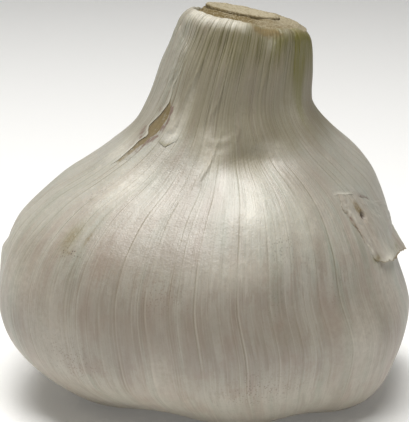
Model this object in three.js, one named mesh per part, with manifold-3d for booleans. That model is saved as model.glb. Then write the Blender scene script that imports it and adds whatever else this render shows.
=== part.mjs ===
// Elephant garlic: one dried bulb with its neck cut short, standing on the feet of its cloves.
// Millimetres, +Z up, front at -Y, the origin on the resting surface under the bulb's middle.
// Azimuths are in degrees from the front, growing towards +X. A level counts the meridian's stations,
// from 0 at the root plate to 14 at the cut rim of the neck.

import * as THREE from "three";
import { mergeVertices } from "three/addons/utils/BufferGeometryUtils.js";
import Module from "manifold-3d";

const wasm = await Module();
wasm.setup();

// ---------------------------------------------------------------- Driving dimensions

// The meridian before the cloves swell it: radius, height, and how far right its middle lies.
const stations = [
  [10.4, 3.6, 6.0], [17.0, 2.9, 5.5], [24.0, 2.6, 5.0], [32.5, 5.5, 4.0], [40.0, 12.0, 1.5],
  [43.0, 21.0, 0.5], [41.5, 31.0, -1.0], [38.5, 40.0, -0.5], [32.0, 48.0, 1.0], [25.5, 54.5, 3.5],
  [21.0, 61.0, 5.0], [18.0, 68.0, 5.7], [16.5, 76.0, 7.3], [15.2, 82.0, 8.7], [14.3, 86.6, 9.7],
];
const rimLevel = stations.length - 1;

// Where along the meridian each swelling sits: its middle level and its half width in levels.
const footBand = { level: 2.2, spread: 1.2 };
const toeBand = { level: 2.9, spread: 1.0 };
const bellyBand = { level: 5.0, spread: 2.6 };
const crownBand = { level: 8.6, spread: 1.7 };
const footDrop = 3.2;

// The six cloves: where each faces, how wide it is, and how far it swells at belly, crown and toe.
const cloves = [
  { azimuth: -66, halfWidth: 34, belly: 5.2, crown: 3.6, toe: 1.8 },
  { azimuth: 6, halfWidth: 26, belly: 2.2, crown: 1.0, toe: 0.8 },
  { azimuth: 58, halfWidth: 29, belly: 4.0, crown: 3.0, toe: 3.0 },
  { azimuth: 113, halfWidth: 30, belly: 4.8, crown: 8.4, toe: 0.5 },
  { azimuth: 176, halfWidth: 30, belly: 2.5, crown: 2.5, toe: 0.5 },
  { azimuth: -124, halfWidth: 31, belly: 4.4, crown: 4.4, toe: 0.5 },
];
const footNarrowing = 0.8; // The grooves between the cloves' feet are wider than those above.

// The front clove's shoulder juts out under the neck, with a hollow above it, and the left clove's skin
// bulges a little.
const shelf = [
  { azimuth: 19, halfWidth: 20, jut: 2.6, level: 8.3, spread: 1.2 },
  { azimuth: 18, halfWidth: 20, jut: -2.1, level: 9.6, spread: 0.5 },
  { azimuth: -92, halfWidth: 15, jut: 0.8, level: 6.95, spread: 0.55 },
];

// The cut end of the neck falls towards the right and a little towards the back. The tilt fades out
// down the neck.
const rimSlope = 0.16;
const rimLean = 0.05;
const rimFade = { from: 10, to: 14 };
const rimWall = 2.25;
const rounding = { inset: 1.9, height: 3.0, steps: 5 }; // The rim's outer edge is a quarter of an ellipse.
const recessDepth = 4.5;
const rimProfile = [[2.1, -0.08], [rimWall, -0.5], [rimWall, -recessDepth]]; // Inset, and rise.

// The two cut layers in the neck: leaf sheaths round the stump of the flower stalk.
const pieceGap = 0.35;
const sheathBase = -recessDepth + pieceGap;
const sheath = {
  sunk: -0.7, proud: 0.35, // Its top beside the left and the right of the rim, against the cut.
  riseFrom: -0.4, riseTo: 0.6, // Between these shares of the way right, it rises from one to the other.
  chamfer: 0.6, innerDrop: 0.3,
};

// The stalk is sawn at a steeper slope than the leaves, from its top's left end down to the right.
const stalk = { offsetX: -1.2, offsetY: 1.0, radiusX: 8.0, radiusY: 7.0, topLeft: 90.0, slope: 0.18 };
const stalkProfile = [[0, 0.8], [-0.3, 0.2], [-1.0, 0], [-4.0, 0.2]]; // Growth, and drop under the top.
const stalkHollow = 0.5;

// The root plate, in its own hollow, with the stubs of its trimmed roots.
const plate = { radius: 10.0, bottom: 2.6, top: 5.5, ceiling: 5.85, dome: 0.9, edge: 0.7 };
const rootRings = [
  { count: 5, radius: 2.8, length: 1.5 },
  { count: 10, radius: 5.6, length: 1.7 },
  { count: 15, radius: 8.3, length: 1.6 },
];
const root = { radius: 0.62, taper: 0.7, sides: 6, sunk: 1.0 };

// The loose papery layers: how far they stand off the bulb and how thick they are.
const skinGap = 0.4;
const skinThickness = 0.4;

// The wrapper left on the neck's left and back. Its front edge, from the slit up to the rim.
const wrapperEdge = [
  { level: 8.6, azimuth: -66 }, { level: 9.2, azimuth: -64.5 }, { level: 10.0, azimuth: -62 },
  { level: 10.5, azimuth: -58 }, { level: 11.05, azimuth: -50.5 }, { level: 11.55, azimuth: -51 },
  { level: 12.05, azimuth: -47 }, { level: 12.9, azimuth: -64 }, { level: 13.6, azimuth: -73 },
];
const wrapper = { farAzimuth: -212, topLevel: 13.4, lowLevel: 8.9, across: 34, along: 16 };

// Its lower edge is torn by these waves: how many go across it, how deep and how far along they start.
const tears = [
  { waves: 2.5, depth: 0.35, start: 0.4 }, { waves: 6, depth: 0.16, start: 2.1 },
  { waves: 13, depth: 0.07, start: 4.0 },
];

// The torn flap on the right shoulder. Its upper and lower edges go by share across it. The lower one
// ends in a lobe and a spur, which lift away.
const flap = { fromAzimuth: 53.5, toAzimuth: 100, slant: 6, across: 24, along: 10 };
const flapTop = [
  { share: 0, level: 8.43 }, { share: 0.3, level: 8.3 }, { share: 0.6, level: 8.05 },
  { share: 1, level: 7.55 },
];
const flapEdge = [
  { share: 0, level: 6.68 }, { share: 0.08, level: 6.5 }, { share: 0.32, level: 6.35 },
  { share: 0.52, level: 6.38 }, { share: 0.68, level: 6.22 }, { share: 0.85, level: 6.56 },
  { share: 1, level: 6.75 },
];
const flapLifts = [{ share: 0.3, spread: 0.22, lift: 0.9 }, { share: 0.7, spread: 0.14, lift: 2.4 }];

// How finely the surfaces are divided.
const columns = 72;
const stepsPerStation = 2.3;
const sheathColumns = 48;
const stalkColumns = 32;
const plateColumns = 40;

// ---------------------------------------------------------------- Shape of the bulb

const radians = Math.PI / 180;
const meridian = new THREE.CatmullRomCurve3(
  stations.map(([radius, height, shift]) => new THREE.Vector3(radius, height, shift)),
  false, "catmullrom", 0.5,
);

// A smooth hump of height 1 at its middle.
function hump(distance, spread) {
  return Math.exp(-((distance / spread) ** 2));
}

function band(level, { level: middle, spread }) {
  return hump(level - middle, spread);
}

// The shorter way round from one azimuth to another, from -180 to 180.
function turnBetween(azimuth, other) {
  return THREE.MathUtils.euclideanModulo(azimuth - other + 180, 360) - 180;
}

// What the front shelf and the left bulge add to the radius.
function shelfSwelling(azimuth, level) {
  return shelf.reduce((sum, part) => (
    sum + part.jut * band(level, part) * hump(turnBetween(azimuth, part.azimuth), part.halfWidth)
  ), 0);
}

function bulbPoint(azimuth, level) {
  const { x: baseRadius, y: baseHeight, z: shift } = meridian.getPoint(level / rimLevel);
  let radius = baseRadius + shelfSwelling(azimuth, level);
  let height = baseHeight;
  for (const clove of cloves) {
    const turn = turnBetween(azimuth, clove.azimuth);
    const crest = hump(turn, clove.halfWidth);
    const footCrest = hump(turn, clove.halfWidth * footNarrowing);
    radius += crest * (clove.belly * band(level, bellyBand) + clove.crown * band(level, crownBand));
    radius += footCrest * clove.toe * band(level, toeBand);
    height -= footCrest * footDrop * band(level, footBand);
  }
  const sideways = radius * Math.sin(azimuth * radians);
  const back = -radius * Math.cos(azimuth * radians);
  const fall = THREE.MathUtils.smoothstep(level, rimFade.from, rimFade.to)
    * (rimSlope * sideways + rimLean * back);
  return new THREE.Vector3(shift + sideways, back, Math.max(height, 0) - fall);
}

function bulbNormal(azimuth, level) {
  const along = bulbPoint(azimuth, level + 0.05).sub(bulbPoint(azimuth, level - 0.05));
  const across = bulbPoint(azimuth + 0.5, level).sub(bulbPoint(azimuth - 0.5, level));
  return across.cross(along).normalize();
}

// A point that stands off the bulb's surface by lift.
function pointOver(azimuth, level, lift) {
  return bulbPoint(azimuth, level).addScaledVector(bulbNormal(azimuth, level), lift);
}

// The middle of the cut rim, and a point above or below the sloping cut.
const [rimRadius, rimHeight, rimMiddle] = stations[rimLevel];

function cutPoint(x, y, rise) {
  return new THREE.Vector3(x, y, rimHeight - rimSlope * (x - rimMiddle) - rimLean * y + rise);
}

function rimPoint(azimuth, inset, rise) {
  const radius = rimRadius - inset;
  return cutPoint(
    rimMiddle + radius * Math.sin(azimuth * radians), -radius * Math.cos(azimuth * radians), rise,
  );
}

// The rim's round outer edge, from 0 where it leaves the neck's side to 1 at the cut.
function roundedPoint(azimuth, share) {
  const below = rounding.height * (1 - Math.sin(share * Math.PI / 2));
  const inset = rounding.inset * (1 - Math.cos(share * Math.PI / 2));
  const level = rimLevel - below / (rimHeight - stations[rimLevel - 1][1]);
  const inward = new THREE.Vector3(-Math.sin(azimuth * radians), Math.cos(azimuth * radians), 0);
  return bulbPoint(azimuth, level).addScaledVector(inward, inset);
}

// The value at a place between listed points, straight from one to the next.
function between(points, place, key, value) {
  const above = points.findIndex((point) => point[key] >= place);
  if (above <= 0) return points.at(above)[value];
  const [low, high] = [points[above - 1], points[above]];
  return THREE.MathUtils.mapLinear(place, low[key], high[key], low[value], high[value]);
}

// ---------------------------------------------------------------- Closed meshes

function geometryFrom(points, triangles) {
  const geometry = new THREE.BufferGeometry().setFromPoints(points);
  geometry.setIndex(triangles);
  return geometry;
}

// The two triangles between four corners, given anticlockwise as seen from outside.
function quad(a, b, c, d) {
  return [a, b, c, a, c, d];
}

// Triangles between rings of equal count, which run anticlockwise seen from the last ring's side.
function bandsBetween(ringCount, size, wraps) {
  const triangles = [];
  const bands = wraps ? ringCount : ringCount - 1;
  for (let ring = 0; ring < bands; ring += 1) {
    const here = ring * size;
    const next = ((ring + 1) % ringCount) * size;
    for (let i = 0; i < size; i += 1) {
      const j = (i + 1) % size;
      triangles.push(...quad(here + i, here + j, next + j, next + i));
    }
  }
  return triangles;
}

// A solid of stacked rings, closed by a fan to a middle point at each end.
function stackedSolid(firstMiddle, rings, lastMiddle) {
  const size = rings[0].length;
  const points = [...rings.flat(), firstMiddle, lastMiddle];
  const triangles = bandsBetween(rings.length, size, false);
  const lastRing = (rings.length - 1) * size;
  for (let i = 0; i < size; i += 1) {
    const j = (i + 1) % size;
    triangles.push(points.length - 2, j, i);
    triangles.push(lastRing + i, lastRing + j, points.length - 1);
  }
  return geometryFrom(points, triangles);
}

// A ring-shaped solid: its rings go round the wall and end where they began.
function hoopSolid(rings) {
  return geometryFrom(rings.flat(), bandsBetween(rings.length, rings[0].length, true));
}

// A thin closed sheet between two grids of points, columns running anticlockwise seen from outside.
function sheetSolid(outer, inner) {
  const rows = outer.length;
  const size = outer[0].length;
  const under = rows * size;
  const at = (row, column) => row * size + column;
  const triangles = [];
  for (let row = 0; row < rows - 1; row += 1) {
    for (let column = 0; column < size - 1; column += 1) {
      const corners = [at(row, column), at(row, column + 1), at(row + 1, column + 1), at(row + 1, column)];
      triangles.push(...quad(...corners));
      triangles.push(...quad(...corners.reverse().map((corner) => corner + under)));
    }
  }
  const rim = [];
  for (let column = 0; column < size - 1; column += 1) rim.push(at(0, column));
  for (let row = 0; row < rows - 1; row += 1) rim.push(at(row, size - 1));
  for (let column = size - 1; column > 0; column -= 1) rim.push(at(rows - 1, column));
  for (let row = rows - 1; row > 0; row -= 1) rim.push(at(row, 0));
  rim.forEach((here, i) => {
    const next = rim[(i + 1) % rim.length];
    triangles.push(...quad(here + under, next + under, next, here));
  });
  return geometryFrom([...outer.flat(), ...inner.flat()], triangles);
}

function azimuthsAround(count) {
  return Array.from({ length: count }, (_, i) => (360 * i) / count);
}

function toManifold(geometry) {
  const bare = geometry.clone();
  bare.deleteAttribute("normal");
  bare.deleteAttribute("uv");
  const merged = mergeVertices(bare, 1e-4);
  return new wasm.Manifold(new wasm.Mesh({
    numProp: 3,
    vertProperties: new Float32Array(merged.attributes.position.array),
    triVerts: new Uint32Array(merged.index.array),
  }));
}

function fromManifold(manifold) {
  const mesh = manifold.getMesh();
  const geometry = new THREE.BufferGeometry();
  geometry.setAttribute("position", new THREE.BufferAttribute(mesh.vertProperties, 3));
  geometry.setIndex(new THREE.BufferAttribute(mesh.triVerts, 1));
  return geometry;
}

// ---------------------------------------------------------------- The pieces

// Cloves and neck in one skin, with a hollow under the base and another in the cut end.
function bulbGeometry() {
  const azimuths = azimuthsAround(columns);
  const rings = [azimuths.map((azimuth) => {
    const edge = bulbPoint(azimuth, 0);
    return new THREE.Vector3(edge.x, edge.y, plate.ceiling);
  })];
  const topLevel = rimLevel - rounding.height / (rimHeight - stations[rimLevel - 1][1]);
  const steps = Math.round(rimLevel * stepsPerStation);
  for (let step = 0; step <= steps; step += 1) {
    rings.push(azimuths.map((azimuth) => bulbPoint(azimuth, (topLevel * step) / steps)));
  }
  for (let step = 1; step <= rounding.steps; step += 1) {
    rings.push(azimuths.map((azimuth) => roundedPoint(azimuth, step / rounding.steps)));
  }
  for (const [inset, rise] of rimProfile) {
    rings.push(azimuths.map((azimuth) => rimPoint(azimuth, inset, rise)));
  }
  const baseMiddle = new THREE.Vector3(stations[0][2], 0, plate.ceiling);
  return stackedSolid(baseMiddle, rings, cutPoint(rimMiddle, 0, -recessDepth));
}

// A point on the stalk's outline, grown outwards by extra, against the cut of the leaves.
function stalkPoint(azimuth, extra, rise) {
  return cutPoint(
    rimMiddle + stalk.offsetX + (stalk.radiusX + extra) * Math.sin(azimuth * radians),
    stalk.offsetY - (stalk.radiusY + extra) * Math.cos(azimuth * radians),
    rise,
  );
}

// The same point moved straight up or down to lie under the stalk's own sloping top.
function stalkTopPoint(azimuth, extra, drop) {
  const point = stalkPoint(azimuth, extra, 0);
  const left = rimMiddle + stalk.offsetX - stalk.radiusX;
  return point.setZ(stalk.topLeft - stalk.slope * (point.x - left) - drop);
}

// The stump of the flower stalk.
function stalkGeometry() {
  const azimuths = azimuthsAround(stalkColumns);
  const rings = [
    azimuths.map((azimuth) => stalkPoint(azimuth, 0, sheathBase)),
    ...stalkProfile.map(([extra, drop]) => azimuths.map((azimuth) => stalkTopPoint(azimuth, extra, drop))),
  ];
  const foot = cutPoint(rimMiddle + stalk.offsetX, stalk.offsetY, sheathBase);
  const top = foot.clone().setZ(stalk.topLeft - stalk.slope * stalk.radiusX - stalkHollow);
  return stackedSolid(foot, rings, top);
}

// The cut ends of the inner leaves: a hoop that is sunk on the left and stands proud on the right.
function sheathGeometry() {
  const azimuths = azimuthsAround(sheathColumns);
  const inset = rimWall + pieceGap;
  const topRise = (azimuth) => {
    const right = Math.sin(azimuth * radians);
    const share = THREE.MathUtils.smoothstep(right, sheath.riseFrom, sheath.riseTo);
    return THREE.MathUtils.lerp(sheath.sunk, sheath.proud, share);
  };
  return hoopSolid([
    azimuths.map((azimuth) => rimPoint(azimuth, inset, sheathBase)),
    azimuths.map((azimuth) => rimPoint(azimuth, inset, topRise(azimuth) - sheath.chamfer)),
    azimuths.map((azimuth) => rimPoint(azimuth, inset + sheath.chamfer, topRise(azimuth))),
    azimuths.map((azimuth) => stalkPoint(azimuth, pieceGap, topRise(azimuth) - sheath.innerDrop)),
    azimuths.map((azimuth) => stalkPoint(azimuth, pieceGap, sheathBase)),
  ]);
}

// The corky disc that the roots grew from, with a ring of short root stubs under it.
function rootPlateGeometry() {
  const { radius, bottom, top, dome, edge } = plate;
  const disc = new THREE.LatheGeometry([
    new THREE.Vector2(0, bottom + dome), new THREE.Vector2(radius * 0.45, bottom + dome * 0.5),
    new THREE.Vector2(radius * 0.85, bottom), new THREE.Vector2(radius, bottom + edge),
    new THREE.Vector2(radius, top), new THREE.Vector2(0, top),
  ], plateColumns).rotateX(Math.PI / 2);
  let joined = toManifold(disc);
  for (const ring of rootRings) {
    for (let i = 0; i < ring.count; i += 1) {
      // Uneven spacing and lengths, as roots grow.
      const around = ((i + 0.35 * Math.sin(i * 5)) / ring.count) * 2 * Math.PI;
      const length = ring.length * (1 + 0.2 * Math.sin(i * 7 + ring.count)) + root.sunk;
      const stub = new THREE.CylinderGeometry(root.radius, root.radius * root.taper, length, root.sides)
        .rotateX(Math.PI / 2)
        .translate(
          ring.radius * Math.cos(around), ring.radius * Math.sin(around),
          bottom + root.sunk - (length - root.sunk) / 2,
        );
      joined = joined.add(toManifold(stub));
    }
  }
  return fromManifold(joined).translate(stations[0][2], 0, 0);
}

function tear(share, { waves, depth, start }) {
  return depth * Math.sin(share * waves * 2 * Math.PI + start);
}

// A sheet over the bulb whose outer side stands off by lift more than the gap and its own thickness.
// place gives azimuth, level and lift from the share across it and the share up it.
function looseSheet(across, along, place) {
  const sheetAt = (gap) => Array.from({ length: along + 1 }, (_, row) => (
    Array.from({ length: across + 1 }, (_unused, column) => {
      const { azimuth, level, lift } = place(column / across, row / along);
      return pointOver(azimuth, level, gap + lift);
    })
  ));
  return sheetSolid(sheetAt(skinGap + skinThickness), sheetAt(skinGap));
}

// The rest of the outermost wrapper, from the slit on the left round the back of the neck.
function outerSkinGeometry() {
  return looseSheet(wrapper.across, wrapper.along, (share, up) => {
    const low = tears.reduce((level, wave) => level + tear(share, wave), wrapper.lowLevel);
    const level = THREE.MathUtils.lerp(low, wrapper.topLevel, up);
    const front = between(wrapperEdge, level, "level", "azimuth");
    return { azimuth: THREE.MathUtils.lerp(wrapper.farAzimuth, front, share), level, lift: 0 };
  });
}

// The torn flap, fast at its top, which lifts and ends in a lobe and a spur.
function skinFlapGeometry() {
  return looseSheet(flap.across, flap.along, (share, up) => {
    const hang = 1 - up;
    const [low, high] = [flapEdge, flapTop].map((edge) => between(edge, share, "share", "level"));
    const lift = flapLifts.reduce((sum, part) => sum + part.lift * hump(share - part.share, part.spread), 0);
    return {
      azimuth: THREE.MathUtils.lerp(flap.fromAzimuth + flap.slant * hang, flap.toAzimuth, share),
      level: THREE.MathUtils.lerp(high, low, hang),
      lift: lift * hang ** 2,
    };
  });
}

// ---------------------------------------------------------------- The assembly

const finishes = {
  skin: { color: 0xc9c3b4, roughness: 0.45 },
  looseSkin: { color: 0xd6d0c2, roughness: 0.5 },
  cutLeaf: { color: 0xb0a37c, roughness: 0.8 },
  stalk: { color: 0xbfae93, roughness: 0.85 },
  root: { color: 0x8f7a56, roughness: 0.9 },
};

const pieces = [
  ["bulb", bulbGeometry(), finishes.skin],
  ["inner_sheath", sheathGeometry(), finishes.cutLeaf],
  ["stem_core", stalkGeometry(), finishes.stalk],
  ["root_plate", rootPlateGeometry(), finishes.root],
  ["outer_skin", outerSkinGeometry(), finishes.looseSkin],
  ["skin_flap", skinFlapGeometry(), finishes.looseSkin],
];

const group = new THREE.Group();
for (const [name, geometry, { color, roughness }] of pieces) {
  geometry.computeVertexNormals();
  const material = new THREE.MeshStandardMaterial({ color, roughness, metalness: 0 });
  const mesh = new THREE.Mesh(geometry, material);
  mesh.name = name;
  group.add(mesh);
}

export default group;
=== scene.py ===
"""An elephant garlic bulb: dried, its neck cut short, standing on the feet of its cloves.

Shapes are worked out in millimetres, as whole numpy arrays, and enter the meshes in metres. Azimuths are
in degrees from the front (-Y) towards +X. A level runs up the bulb's meridian, from 0 at the root plate to
14 at the cut rim of the neck. Veins are counted round the bulb, and are where the skin's lines run.
"""

from __future__ import annotations

import logging
import math
from dataclasses import dataclass, field
from enum import Enum
from typing import Callable, Union

import bpy
import numpy as np
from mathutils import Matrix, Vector


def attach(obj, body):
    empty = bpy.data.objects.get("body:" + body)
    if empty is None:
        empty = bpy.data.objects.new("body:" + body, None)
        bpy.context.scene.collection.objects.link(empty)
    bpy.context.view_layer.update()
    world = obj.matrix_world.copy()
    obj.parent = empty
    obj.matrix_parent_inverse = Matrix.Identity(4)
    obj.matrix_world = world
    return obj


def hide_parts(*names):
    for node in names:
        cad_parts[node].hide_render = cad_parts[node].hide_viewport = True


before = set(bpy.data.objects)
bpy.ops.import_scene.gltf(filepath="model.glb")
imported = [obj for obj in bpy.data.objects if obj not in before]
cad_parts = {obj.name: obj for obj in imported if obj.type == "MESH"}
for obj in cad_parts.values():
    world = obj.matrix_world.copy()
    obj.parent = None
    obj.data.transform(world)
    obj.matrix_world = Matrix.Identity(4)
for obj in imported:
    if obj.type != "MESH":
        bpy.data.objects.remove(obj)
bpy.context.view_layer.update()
BODY = "root"
MM = 0.001
PATTERN_MAP = "SkinMap"
BAKE_MAP = "OFBake"

log = logging.getLogger("garlic")

Array = np.ndarray
Path = tuple[tuple[float, float], ...]
Point = tuple[float, float, float]


# ------------------------------------------------------------------------------------------ Curves


def rise(x: Array | float, low: Array | float, high: Array | float) -> Array:
    """A soft step from 0 at low to 1 at high: 3t^2 - 2t^3 of the way along."""
    t = np.clip((np.asarray(x, float) - low) / (high - low), 0.0, 1.0)
    return t * t * (3 - 2 * t)


def fall(x: Array | float, low: Array | float, high: Array | float) -> Array:
    """A soft step down, from 1 at low to 0 at high."""
    return 1 - rise(x, low, high)


def plateau(
    x: Array | float, foot: Array | float, top: Array | float, brink: Array | float, end: Array | float
) -> Array:
    """0 up to foot, 1 from top to brink and 0 beyond end, with soft steps between."""
    return rise(x, foot, top) * fall(x, brink, end)


def hump(distance: Array | float, spread: float) -> Array:
    """A bell of height 1: e to the minus square of distance over spread."""
    return np.exp(-((np.asarray(distance, float) / spread) ** 2))


def turn_between(azimuth: Array, other: float) -> Array:
    """The shorter way round from other to azimuth, from -180 to 180 degrees."""
    return (np.asarray(azimuth, float) - other + 180.0) % 360.0 - 180.0


def facing(azimuth: Array, middle: float, spread: float) -> Array:
    """A bell of height 1 round an azimuth, whichever way is shorter."""
    return hump(turn_between(azimuth, middle), spread)


def along_path(x: Array, path: Path) -> Array:
    """Straight stretches through (x, y) points, level beyond both ends."""
    xs, ys = zip(*path)
    return np.interp(x, xs, ys)


def once_round(count: int) -> tuple[Array, Array]:
    """Even angles once round, in radians and in degrees."""
    radians = np.linspace(0, 2 * math.pi, count, endpoint=False)
    return radians, np.degrees(radians)


def with_ends(values: Array) -> Array:
    """A column of ring values with the first and the last again, for the middle points of both ends."""
    return np.concatenate([values, [values[0], values[-1]]])


class Waves:
    """Smooth random waves on a plane, from -1 to 1, which repeat after `period` units of x.

    Random heights at whole numbers are joined by soft steps both ways.
    """

    ROWS = 97

    def __init__(self, seed: int, period: int) -> None:
        """Draws the heights.

        Args:
            seed: Picks the pattern.
            period: Units of x after which it repeats.
        """
        self._heights = np.random.default_rng(seed).uniform(-1, 1, (self.ROWS, period))

    def __call__(self, x: Array | float, y: Array | float = 0.0) -> Array:
        """The height at x, y.

        Args:
            x: Across the plane, in units of the pattern.
            y: Up the plane.

        Returns:
            Heights, in the shape that x and y have together.
        """
        x, y = np.broadcast_arrays(np.asarray(x, float), np.asarray(y, float))
        left, low = np.floor(x).astype(int), np.floor(y).astype(int)
        across, up = rise(x - left, 0, 1), rise(y - low, 0, 1)
        rows, period = self._heights.shape
        lower, upper = (
            self._heights[(low + j) % rows, left % period] * (1 - across)
            + self._heights[(low + j) % rows, (left + 1) % period] * across
            for j in (0, 1)
        )
        return lower * (1 - up) + upper * up


# -------------------------------------------------------------------------------- Shape of the bulb


@dataclass(frozen=True)
class Band:
    """A stretch of the meridian where something swells."""

    level: float
    spread: float

    def share(self, level: Array) -> Array:
        """How much of the swelling a level gets, from 0 to 1."""
        return hump(level - self.level, self.spread)


@dataclass(frozen=True)
class Clove:
    """One clove under the skin: where it faces and how far it pushes the skin out, in millimetres."""

    azimuth: float
    half_width: float
    belly: float
    crown: float
    toe: float


@dataclass(frozen=True)
class Shelf:
    """Where the front clove's shoulder juts out under the neck, with a hollow above it."""

    azimuth: float = 19.0
    half_width: float = 20.0
    jut: float = 2.6
    jut_band: Band = Band(8.3, 1.2)
    hollow_azimuth: float = 18.0
    hollow: float = 2.1
    hollow_band: Band = Band(9.6, 0.5)

    def swelling(self, azimuth: Array, level: Array) -> Array:
        """What it adds to the radius.

        Args:
            azimuth: Round the bulb, in degrees.
            level: Up the bulb.

        Returns:
            Millimetres, inwards below zero.
        """
        jut = self.jut * facing(azimuth, self.azimuth, self.half_width)
        hollow = self.hollow * facing(azimuth, self.hollow_azimuth, self.half_width)
        return jut * self.jut_band.share(level) - hollow * self.hollow_band.share(level)


@dataclass(frozen=True)
class BulbForm:
    """The smooth shape of bulb and neck, the same one that the CAD bulb has.

    A meridian of stations (radius, height, how far right the middle lies) is joined by a Catmull-Rom
    curve and spun round. Each clove adds bell-shaped swellings to the radius and lowers its own foot.
    """

    stations: tuple[Point, ...] = (
        (10.4, 3.6, 6.0), (17.0, 2.9, 5.5), (24.0, 2.6, 5.0), (32.5, 5.5, 4.0), (40.0, 12.0, 1.5),
        (43.0, 21.0, 0.5), (41.5, 31.0, -1.0), (38.5, 40.0, -0.5), (32.0, 48.0, 1.0),
        (25.5, 54.5, 3.5), (21.0, 61.0, 5.0), (18.0, 68.0, 5.7), (16.5, 76.0, 7.3),
        (15.2, 82.0, 8.7), (14.3, 86.6, 9.7),
    )
    cloves: tuple[Clove, ...] = (
        Clove(-66, 34, 5.2, 3.6, 1.8),
        Clove(6, 26, 2.2, 1.0, 0.8),
        Clove(58, 29, 4.0, 3.0, 3.0),
        Clove(113, 30, 4.8, 8.4, 0.5),
        Clove(176, 30, 2.5, 2.5, 0.5),
        Clove(-124, 31, 4.4, 4.4, 0.5),
    )
    shelf: Shelf = Shelf()
    foot: Band = Band(2.2, 1.2)
    toe: Band = Band(2.9, 1.0)
    belly: Band = Band(5.0, 2.6)
    crown: Band = Band(8.6, 1.7)
    foot_drop: float = 3.2
    foot_narrowing: float = 0.8
    rim_slope: float = 0.16
    rim_lean: float = 0.05
    rim_fade: tuple[float, float] = (10.0, 14.0)
    normal_steps: tuple[float, float] = (0.5, 0.05)

    @property
    def rim_level(self) -> float:
        """The level of the cut rim."""
        return len(self.stations) - 1.0

    @property
    def rim(self) -> Point:
        """The rim's radius, its height, and how far right its middle lies."""
        return self.stations[-1]

    def meridian(self, level: Array) -> Array:
        """The stations' curve: radius, height and shift at each level, as the last axis.

        Args:
            level: Up the bulb.

        Returns:
            The curve, with one more axis than the levels have.
        """
        knots = np.array(self.stations)
        knots = np.vstack([2 * knots[0] - knots[1], knots, 2 * knots[-1] - knots[-2]])
        level = np.clip(np.asarray(level, float), 0, self.rim_level)
        start = np.minimum(level.astype(int), int(self.rim_level) - 1)
        t = (level - start)[..., None]
        before, here, after, beyond = (knots[start + i] for i in range(4))
        leaving, arriving = (after - before) / 2, (beyond - here) / 2
        cubic = 2 * here - 2 * after + leaving + arriving
        square = -3 * here + 3 * after - 2 * leaving - arriving
        return ((cubic * t + square) * t + leaving) * t + here

    def point(self, azimuth: Array, level: Array) -> Array:
        """Points on the smooth bulb, in millimetres.

        Args:
            azimuth: Round the bulb, in degrees.
            level: Up the bulb.

        Returns:
            x, y and z as the last axis.
        """
        azimuth, level = np.broadcast_arrays(np.asarray(azimuth, float), np.asarray(level, float))
        radius, height, shift = np.moveaxis(self.meridian(level), -1, 0)
        radius = radius + self.shelf.swelling(azimuth, level)
        for clove in self.cloves:
            crest = facing(azimuth, clove.azimuth, clove.half_width)
            foot_crest = facing(azimuth, clove.azimuth, clove.half_width * self.foot_narrowing)
            swelling = clove.belly * self.belly.share(level) + clove.crown * self.crown.share(level)
            radius = radius + crest * swelling + foot_crest * clove.toe * self.toe.share(level)
            height = height - foot_crest * self.foot_drop * self.foot.share(level)
        sideways = radius * np.sin(np.radians(azimuth))
        back = -radius * np.cos(np.radians(azimuth))
        slant = (self.rim_slope * sideways + self.rim_lean * back) * rise(level, *self.rim_fade)
        return np.stack([shift + sideways, back, np.maximum(height, 0) - slant], -1)

    def normal(self, azimuth: Array, level: Array) -> Array:
        """Outward unit normals, from small steps of azimuth and level both ways.

        Args:
            azimuth: Round the bulb, in degrees.
            level: Up the bulb.

        Returns:
            Unit vectors as the last axis.
        """
        turn, climb = self.normal_steps
        across = self.point(azimuth + turn, level) - self.point(azimuth - turn, level)
        along = self.point(azimuth, level + climb) - self.point(azimuth, level - climb)
        normal = np.cross(across, along)
        return normal / np.linalg.norm(normal, axis=-1, keepdims=True)

    def cut(self, x: Array, y: Array, above: Array | float) -> Array:
        """Points that stand `above` millimetres over the sloping cut of the neck.

        Args:
            x: To the right, in millimetres.
            y: To the back.
            above: How high over the cut.

        Returns:
            x, y and z as the last axis.
        """
        x, y, above = np.broadcast_arrays(x, y, above)
        height = self.rim[1] - self.rim_slope * (x - self.rim[2]) - self.rim_lean * y
        return np.stack([x, y, height + above], -1)


@dataclass(frozen=True)
class Fold:
    """A small ridge of crumpled skin along (azimuth, level) points, highest in its middle.

    Its width is in degrees, and a level counts as `level_degrees` of them.
    """

    path: Path
    width: float
    highest: float
    level_degrees: float = 9.0
    blunt_end: float = 0.08

    def height(self, azimuth: Array, level: Array) -> Array:
        """How far it stands out at a place, in millimetres: half a sine wave along the path.

        Args:
            azimuth: Round the bulb, in degrees.
            level: Up the bulb.

        Returns:
            The heights.
        """
        azimuth = turn_between(azimuth, 0.0)
        height = np.zeros(np.broadcast(azimuth, level).shape)
        for i, (start, end) in enumerate(zip(self.path, self.path[1:])):
            across, up = end[0] - start[0], (end[1] - start[1]) * self.level_degrees
            right, above = azimuth - start[0], (level - start[1]) * self.level_degrees
            share = np.clip((right * across + above * up) / (across**2 + up**2), 0, 1)
            away = np.hypot(right - share * across, above - share * up)
            along = self.blunt_end + (1 - 2 * self.blunt_end) * (i + share) / (len(self.path) - 1)
            height = np.maximum(height, hump(away, self.width) * np.sin(math.pi * along))
        return self.highest * height


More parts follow.
